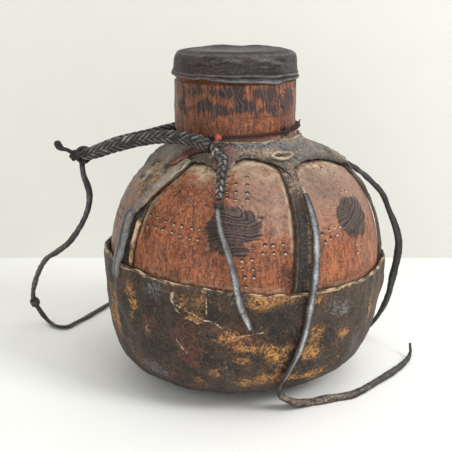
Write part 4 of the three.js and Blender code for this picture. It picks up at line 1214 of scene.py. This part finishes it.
def make_yoke():
    """Yoke skin as a ring of rounded sections: outside from arches to neck, top edge, inside, lower edge.

    The lift adds strap pockets, a curl at the cut edge, creases that run down it and small unevenness.
    """
    turn = np.linspace(0, 360, 720, endpoint=False)[None]
    nominal = around(turn, 70.0, 150.0)
    low = arch_height(turn) + lumps(nominal, 41, (0.25, 6), (0.12, 2.6))
    high = YOKE_TOP_Z + 0.4 * ripple(nominal, 15, 43)
    share = np.linspace(0, 1, 34)[:, None] ** 1.25
    z = low + (high - low) * share
    under = SKIN_GAP + 0.75 * pocket(turn, z, 1.0)
    at = above(turn, z, under + YOKE_T)
    crease = 0.5 * np.sin(np.radians(turn) * 31 + 3 * ripple(at, 30, 44)) * ease(share, 0.1, 0.5) * 0.6
    uneven = lumps(at, 45, (0.3, 16), (0.16, 5.5), (0.07, 2.6))
    curl = 0.5 * np.exp(-(z - low) / 1.9) * (1 + 0.6 * ripple(at, 10, 48)) + 0.4 * np.exp((z - high) / 1.2)
    lump = spots(turn, z, [(80, 139, 6, 4, 0.4), (88, 140, 5, 4, 0.2)]) * (1 + 0.3 * ripple(at, 6, 51))
    tips = np.max([hump(turn_from(turn, strap_azimuth(s, z)), 0, 5.5) for s in STRAPS], axis=0)
    tips = tips * (1 - ease(z, low + 6, low + 13))
    lift = under + YOKE_T + crease + uneven + curl + lump - 1.1 * tips * np.exp(-(z - low) / 5)
    outer = above(turn, z, lift)
    bend = np.linspace(0, np.pi, 8)[1:-1][:, None]
    half_top, half_low = (lift[-1] - under[-1]) / 2, (lift[0] - under[0]) / 2
    upper = above(turn, high + half_top * 0.8 * np.sin(bend), under[-1] + half_top * (1 + np.cos(bend)))
    inner = above(turn, z[::-4], under[::-4])
    lower = above(turn, low - half_low * 0.8 * np.sin(bend), under[0] + half_low * (1 - np.cos(bend)))
    grid = np.concatenate([outer, upper, inner, lower])
    side = {label: painted(turn, z, places, YOKE_LIFT) for label, places in YOKE_PX.items()}
    flank = toward(turn, -52, 13) * (1 - ease(z, 146, 153))
    side["tan"] += 0.5 * blotches(at, 26, 49) + 0.4 * tips + flank * (0.15 + 0.6 * ripple(at, 7, 54))
    # Dark blotches, and painted shade in a thin band along the lower cut edge.
    side["soot"] += 0.3 * blotches(at, 22, 50) + 0.5 * np.exp(-(z - low) / 0.6)
    side["soot"] = side["soot"] * (1 - 0.8 * tips) + flank * (0.1 + 0.7 * ripple(at, 9, 52))
    side["slate"] = (side["slate"] + 0.3 * blotches(at, 20, 55)) * (1 - 0.6 * flank)
    side["ochre"] += flank * (0.65 + 0.6 * ripple(at, 10, 53))
    side["red"] = 0.5 * tips
    side["edge"] = 0.6 * np.exp((z - high) / 0.6)
    marks = set_in(0, len(grid), side)
    marks["edge"][len(z):len(z) + len(bend)] = 0.55
    # Painted shade on the underside of the rounded lower edge.
    marks["soot"][-len(bend):] = 0.6
    return surface(grid, loop_rows=True, **marks)


add_piece("yoke_skin", [make_yoke()], YOKE, ("shoulder_yoke",))

# Straps

# Lips of the straps: width, height, brightness and tan of the lip
STRAP_LIPS = {"strap_left": (0.42, 1.75, 1.8, 1.2), "strap_front": (0.25, 1.75, 0.6, 0.6),
              "strap_right": (0.25, 1.0, 0.5, 0.6)}
BACK_LIP = (0.25, 1.75, 0.5, 0.6)


def make_strap(name, seed):
    """Channel strap over the wood: across it two rounded rims with a trough, thinned at the tucked ends."""
    azimuth, _, cusp = STRAPS[name]
    wide, tall, bright, dusty = STRAP_LIPS.get(name, BACK_LIP)
    z = np.linspace(STRAP_FOOT_Z, cusp + STRAP_TUCK, 90)[:, None]
    rim = boot_rim(azimuth)
    shown = ease(z, rim, rim + 5) * (1 - ease(z, cusp - 7, cusp - 1))
    across = np.concatenate([np.linspace(-1, 1, 29), np.linspace(1, -1, 9)])[None]
    over = np.concatenate([np.ones(29), np.zeros(9)])[None]
    middle = strap_azimuth(name, z)
    rough = above(middle + 4 * across, z, 3)
    half = np.minimum(4.6, np.degrees(STRAP_W / 2 / wood_at(z)[0])) * (
        1 + 0.07 * shown * ripple(rough, 13, seed))
    rims = hump(np.abs(across), 0.76, wide) * (1 + 0.22 * ripple(rough, 9, seed + 1))
    body = 0.85 + tall * rims - 0.9 * ease(np.abs(across), 0.93, 1.0) + 0.12 * ripple(rough, 4, seed + 2)
    full = TONGUE_T * (1 - shown) + body * shown
    grid = above(middle + across * half, z, SKIN_GAP + over * full)
    right = over * shown * hump(across, 0.74, wide) * (0.8 + 0.35 * ripple(rough, 16, seed + 3))
    deep = 1 - ease(z, 126, 133) if name == "strap_front" else 1.0
    # Painted shade over dark patina in the trough between the rims; on the front strap it gives way to red
    # and tan near the top.
    return surface(
        grid, edge=0.62 * bright * right, ochre=bright * right, red=0.55 * over * (1 - deep),
        soot=0.95 * over * shown * hump(across, -0.1, 0.55) * deep,
        tan=over * (dusty * shown * right + 0.55 * (1 - deep)))


for count, name in enumerate(STRAPS):
    add_piece(name + "_hide", [make_strap(name, 60 + 5 * count)], STRAP, (name,))

roll_line = route([
    (-54.4, 119, 4.4), (-55.0, 114.5, 5.2), (-55.0, 108, 5.3), (-55.0, 102, 5.4), (-55.3, 95, 5.7),
    (-56.2, 87, 6.4), (-56.7, 78.6, 5.6)], step=0.5)


def make_roll():
    """Rolled strip: a round section with a groove where the roll closes, swelling and turning along it."""
    a = np.linspace(0, 2 * np.pi, 28, endpoint=False)
    r = 2.9 * (1 - 0.3 * hump(a, 2.0, 0.28) + 0.08 * np.cos(a - 2.8))
    scale = tapered(len(roll_line), 0.35, 0.4) * (1 + 0.12 * ripple(roll_line, 14, 81))
    grid = swept(roll_line, skin_normal(roll_line), (r * np.cos(a), r * np.sin(a)), scale,
                 18 * ripple(roll_line, 30, 82))
    # Painted shade in the groove where the roll closes.
    return surface(grid, soot=hump(a, 2.0, 0.3))


add_piece("left_roll_hide", [make_roll()], ROLL, ("left_strap_roll",))

# Lid

LID_PROFILE = [
    (38.5, 193.7), (39.2, 193.35), (39.95, 193.9), (40.15, 195.2), (39.7, 196.5), (39.55, 197.2),
    (39.6, 198.2), (39.05, 199.3), (39.1, 201), (39.05, 204), (38.7, 206.6), (37.3, 209.2), (35, 210.8),
    (32.4, 211.35), (28, 210.9), (20, 210.2), (10, 209.75), (2, 209.7),
]
LID_INSIDE = [
    (2, 207.95), (20, 207.95), (35.9, 207.95), (37.3, 206.8), (37.5, 205), (37.5, 199), (38.2, 196.2),
]


def make_lid():
    """Lid turned from a profile: a hem that dips at the right front, two rolled ridges over it, humped top.

    Dents and creases are seeded waves; the inside is plain rings.
    """
    turn = np.linspace(0, 360, 330, endpoint=False)[None]
    line = smooth_route(LID_PROFILE, 0.5)
    r, z = line[:, :1], line[:, 1:]
    at = around(turn, r, z)
    a = np.radians(turn)
    hem = 1 - ease(z, 194.5, 201.5)
    ragged = ripple(around(turn, 40.0, 200.0), 11, 91)
    left = ease(turn_from(turn, -60), -50, -30) * (1 - ease(turn_from(turn, -60), 20, 55))
    wave = hem * (0.6 + 1.3 * left - 1.2 * toward(turn, 44, 46) + 0.3 * np.sin(5 * a + 2.0) + 0.3 * ragged)
    side = hem + ease(z, 199, 203) * (1 - ease(z, 208, 211))
    swell = (0.34 * ripple(at, 30, 92) + 0.15 * ripple(at * (1, 1, 2.4), 10, 93)
             + 0.1 * ripple(at * (1, 1, 2.6), 4, 94))
    roll = 197.3 + 0.35 * np.sin(3 * a + 1) + 0.3 * ripple(around(turn, 40.0, 200.0), 16, 98)
    ridges = (0.5 * hump(z, roll, 0.5) + 0.35 * hump(z, 194.4, 0.6)) * (1 - 0.6 * left)
    grooves = (0.55 * hump(z, roll - 1.15, 0.5) + 0.35 * hump(z, roll + 1.2, 0.6)) * (1 - 0.7 * left)
    folds = 0.25 * hump(z, 202.5 + 1.2 * np.sin(2 * a + 0.5), 0.7) * blotches(at, 22, 99)
    flat = ease(z, 208.5, 210.5)
    humps = 0.9 * hump(at[..., 0], -11, 9) + 0.8 * hump(at[..., 0], 17, 11) - 0.5
    top = flat * (ease(r, 18, 32) * humps * ease(at[..., 1], -10, 20)
                  + ease(r, 1, 14) * 0.35 * ripple(at, 26, 95))
    grid = around(
        turn, r + side * (swell + ridges - grooves - folds) + 0.5 * np.cos(2 * a + 0.8) * (1 - flat),
        z + wave + top + flat * 0.1 * ripple(at, 6, 96))
    inside = rings(turn, LID_INSIDE)
    # Painted sheen in horizontal streaks on the front; painted highlights on the rolled ridges and round the
    # top edge; painted shade in the grooves and folds and over the flat top.
    sheen_streaks = blotches(at * (1, 1, 4), 16, 89) * toward(turn, 25, 45)
    marks = set_in(len(inside), len(inside) + len(grid), {
        "worn": 0.55 * (hump(z, roll, 0.4) + hump(z, 194.4, 0.5)) + 0.25 * hump(z, 209.5, 1.0)
                + 0.3 * side * sheen_streaks,
        "soot": 2 * grooves + 2 * folds + 1.3 * flat * (0.9 + 0.4 * ripple(at, 14, 88)),
        "red": 0.3 * blotches(at, 18, 97) + 0.35 * hump(at[..., 0], -20, 14),
    })
    marks["soot"][:len(inside)] = 0.4
    return surface(np.concatenate([inside, grid]), **marks)


add_piece("lid_skin", [make_lid()], LID, ("lid_cap",), "lid")

# Neck cord

CORD_REACH = NECK_R + SKIN_GAP + 1.3
KNOT_AZ = 47


def cord_at(azimuth):
    """Ring of the neck cord, tilted by a sine of the azimuth."""
    z = 162.3 + 0.045 * CORD_REACH * np.sin(np.radians(azimuth))
    return around(azimuth, CORD_REACH, z, lean(z))


cord_line = even(cord_at(np.linspace(KNOT_AZ + 2.5, KNOT_AZ + 357.5, 300)), 0.55)
add_piece("neck_cord_lay", twisted(cord_line, skin_normal(cord_line), 0.52, 0.62, 4.2), FIBRE,
          ("neck_cord",))
add_piece("neck_cord_knot_lay", [knot(cord_at(KNOT_AZ) + (0.6, -0.5, 0.2), (2.7, 2.3, 2.6), 0.8, 40)], FIBRE,
          ("neck_cord_knot",))
end_line = smooth_route([around(KNOT_AZ + 3, 42.2, 164.4), around(KNOT_AZ + 12, 43.2, 166.9),
                         around(KNOT_AZ + 19, 42.4, 167.9)], 0.5)
frayed = [smooth_route([end_line[-4], end_line[-1] + (1.0, 1.6, 0.4 + k),
                        end_line[-1] + (1.2 + k, 4.0, 1.4 * k)], 0.4)
          for k in (-0.7, 0.0, 0.8)]
add_piece("neck_cord_end_lay", twisted(end_line, UP, 0.42, 0.5, 4.0) + [
    surface(swept(f, UP, flat_section(0.55, 0.4, 8, 1.0), tapered(len(f), 1.0, 0.2))) for f in frayed],
    FIBRE, ("neck_cord_end",))

# Carrying loop

loop_route = smooth_route([
    (-15, -47, 157.8), (-22, -43, 160.4), (-31, -37, 161.3), (-44, -28.5, 160.6), (-57, -21, 157.8),
    (-76, -12.5, 152), (-90, -6.8, 146.8), (-97.5, 0, 144.4), (-90, 6.8, 147), (-76, 12.5, 152.4),
    (-58, 20.5, 156), (-44, 28.5, 158), (-31, 37, 159), (-22, 43, 158.6), (-15, 47, 157.8)], 0.3)
loop_share = np.linspace(0, 1, len(loop_route))
loop_scale = along(loop_share, ((0, 0.9), (0.04, 0.96), (0.44, 0.96), (0.54, 0.7), (0.96, 0.68), (1, 0.7)))
loop_route = loop_route - 1.3 * hump(loop_share, 0.72, 0.12)[:, None] * UP
outward = unit(np.cross(UP, unit(np.gradient(loop_route, axis=0))))
add_piece("loop_plait", [herringbone(loop_route, outward, (4.4, 3.5), 4.8, 1.35, 0.95, loop_scale)], PLAIT,
          ("handle_plait",), "handle")
add_piece("hitch_wrap", [
    knot(np.array([-103.4, 0, 143.9]), (2.9, 4.2, 3.3), 1.1, 60),
    wound(np.array([-100.6, 0.0, 144.2]), (1, 0.05, -0.1), 2.7, 1.1, 3.0, 3.2),
    wound(np.array([-97.2, 0.0, 144.4]), (0.05, 1, 0.05), 4.7, 1.2, 2.2, 4.0)],
    THONG, ("handle_hitch",), "handle")
stub_line = smooth_route([
    (-102.6, 0, 144.9), (-105.2, 0, 146.2), (-107.8, 0, 147.5), (-111, 0.2, 148.4), (-113.3, 0.5, 150.4),
    (-114, 0.6, 153.4)], 0.5)
stub_scale = along(np.linspace(0, 1, len(stub_line)),
                   ((0, 0.85), (0.5, 0.8), (0.72, 1.5), (0.92, 1.5), (1, 0.7)))
add_piece("hitch_stub", [surface(swept(stub_line, (-0.2, -0.9, 0.3), flat_section(3.2, 1.3), stub_scale))],
          THONG, ("hitch_end",), "handle")
back_at = around(190.7, 51.27, 158.2)
add_piece("back_knot_plait", [knot(back_at, (5.2, 5.6, 5.2), 1.8, 20)], PLAIT,
          ("handle_back_knot",))

# Flat strips on the yoke

YOKE_OVER = 2.5


def add_strip(name, node, stations, width, thick, lift, finish, seed, cup=0.03, tips=(0.85, 0.8),
              ragged=0.35):
    """Flat strip over the yoke: stations of azimuth and height, lifted, swept with a cupped section."""
    path = smooth_route([(a, z, 0) for a, z in stations], 0.5)
    line = even(above(path[:, 0], path[:, 1], lift + thick / 2), 0.5)
    x, y = flat_section(width, thick, 26, 0.5)
    scale = tapered(len(line), *tips)
    grid = swept(line, skin_normal(line), (x, y), scale, 5 * ripple(line, 22, seed), cup)
    wander = ragged * lumps(grid, seed + 1, (1, 7), (0.35, 3))
    grid = grid + wander[..., None] * unit(grid - line[:, None])
    edge = np.abs(2 * x / width) ** 7 * (0.6 + 0.4 * ripple(line, 9, seed + 3))[:, None]
    add_piece(name, [surface(grid, edge=edge)], finish, (node,))


add_strip("front_tab_hide", "front_tab", [(-13.2, 144), (-13.0, 148), (-12.6, 154)], 12, 1.3, YOKE_OVER + 0.9,
          PINK, 101, ragged=0.75)
add_strip("back_tab_hide", "back_tab", [(188, 143.5), (188, 148), (188, 153)], 13, 1.3, YOKE_OVER + 0.7,
          PINK, 104)
add_strip("shoulder_tie_hide", "shoulder_tie", [(-22, 153.8), (-34, 152.2), (-43, 148), (-50, 142)], 5.6, 1.9,
          YOKE_OVER + 0.7, RED, 107, 0.04, (0.85, 0.3))
add_strip("cross_strap_hide", "cross_strap", [(-37, 145.5), (-43.6, 135), (-50.4, 122.7), (-54.2, 116.6)],
          6.2, 1.7, YOKE_OVER + 1.7, TAN, 110, 0.02)


def make_scrap():
    """Small crumpled scrap: a lumpy ball squeezed flat, its radius wandering by seeded waves."""
    a, b = np.linspace(0, 2 * np.pi, 28, endpoint=False)[None], np.linspace(0.12, np.pi - 0.12, 16)[:, None]
    ball = np.stack(np.broadcast_arrays(np.sin(b) * np.cos(a), np.sin(b) * np.sin(a), np.cos(b)), -1)
    ball = ball * (1 + 0.22 * ripple(ball, 1.6, 131))[..., None] * (1.9, 1.3, 1.8)
    return surface(np.array([-10.5, -47.6, 163.2]) + ball)


add_piece("coral_scrap", [make_scrap()], CORAL, body="handle")


LIP_AZ, LIP_Z = 25.0, 147.8


def make_lip():
    """Lip round the slit: a flat section carried round an eye shape, pointed by drawing its ends out."""
    a = np.linspace(0, 2 * np.pi, 72, endpoint=False)
    middle = above(LIP_AZ, LIP_Z, YOKE_OVER + POCKET + 0.9)
    out, long = skin_normal(middle), around(LIP_AZ + 90, 1.0, 0.0)
    up = np.cross(out, long)
    tall = 2.4 * np.sign(np.sin(a)) * np.abs(np.sin(a)) ** 1.5
    line = middle + (6.6 * np.cos(a))[:, None] * long + tall[:, None] * up
    line = line + (0.5 * ripple(line, 8, 121))[:, None] * out
    x, y = flat_section(2.6, 1.7, 12, 0.8)
    grid = beside(line, unit(line - middle), out[None], x[None], y[None])
    return surface(grid, loop_rows=True, edge=0.75 * ease(y, 0.2, 1.0))


add_piece("yoke_lip", [make_lip()], TAN, ("yoke_loop",))

# Floor, wall and light


def stage_finish(name, colour):
    """Plain paper tone, faintly mottled; a wall seen from behind lets the view through."""
    made, tree, shader, place = start_finish(name)
    mottled = coat(tree, tone(*colour), (noise(tree, place, 30.0), [c - 4 for c in colour]))
    feed(tree, shader, {"Base Color": mottled, "Roughness": 0.9})
    clear = put(tree, "BsdfTransparent").outputs[0]
    back = put(tree, "NewGeometry").outputs["Backfacing"]
    mix = put(tree, "MixShader", {0: back, 1: shader.outputs[0], 2: clear})
    feed(tree, tree.nodes["Material Output"], {"Surface": mix.outputs[0]})
    return made


def add_plane(name, corners, finish):
    """A single flat face through its corners."""
    mesh = bpy.data.meshes.new(name)
    mesh.from_pydata(corners, [], [(0, 1, 2, 3)])
    mesh.materials.append(finish)
    made = bpy.data.objects.new(name, mesh)
    scene.collection.objects.link(made)


WALL_Y = 0.24
FAR = 3
add_plane("floor", [(-FAR, -FAR, 0), (FAR, -FAR, 0), (FAR, WALL_Y, 0), (-FAR, WALL_Y, 0)],
          stage_finish("floor_paper", (246, 246, 244)))
add_plane("wall", [(-FAR, WALL_Y, 0), (FAR, WALL_Y, 0), (FAR, WALL_Y, FAR), (-FAR, WALL_Y, FAR)],
          stage_finish("wall_paper", (223, 223, 217)))


LAMPS_AIM = np.array([0, 0, 0.1])


def add_lamp(name, place, size, watts):
    """Square soft lamp, its -Z turned to the aim by a tilt from straight down and a turn round Z."""
    lamp = bpy.data.lights.new(name, "AREA")
    lamp.size = size
    lamp.energy = watts
    made = bpy.data.objects.new(name, lamp)
    x, y, z = LAMPS_AIM - place
    made.location = place
    made.rotation_euler = (np.arctan2(np.hypot(x, y), -z), 0.0, np.arctan2(y, x) - np.pi / 2)
    scene.collection.objects.link(made)


add_lamp("key", (1.0, -0.7, 1.0), 0.45, 10.5)
add_lamp("fill", (-0.55, -1.25, 0.6), 1.2, 5.5)
add_lamp("top", (0.4, -0.45, 1.2), 0.9, 5.2)
world = bpy.data.worlds.new("room")
world.use_nodes = True
feed(world.node_tree, world.node_tree.nodes["Background"], {0: tone(250, 249, 245), 1: 0.55})
scene.world = world
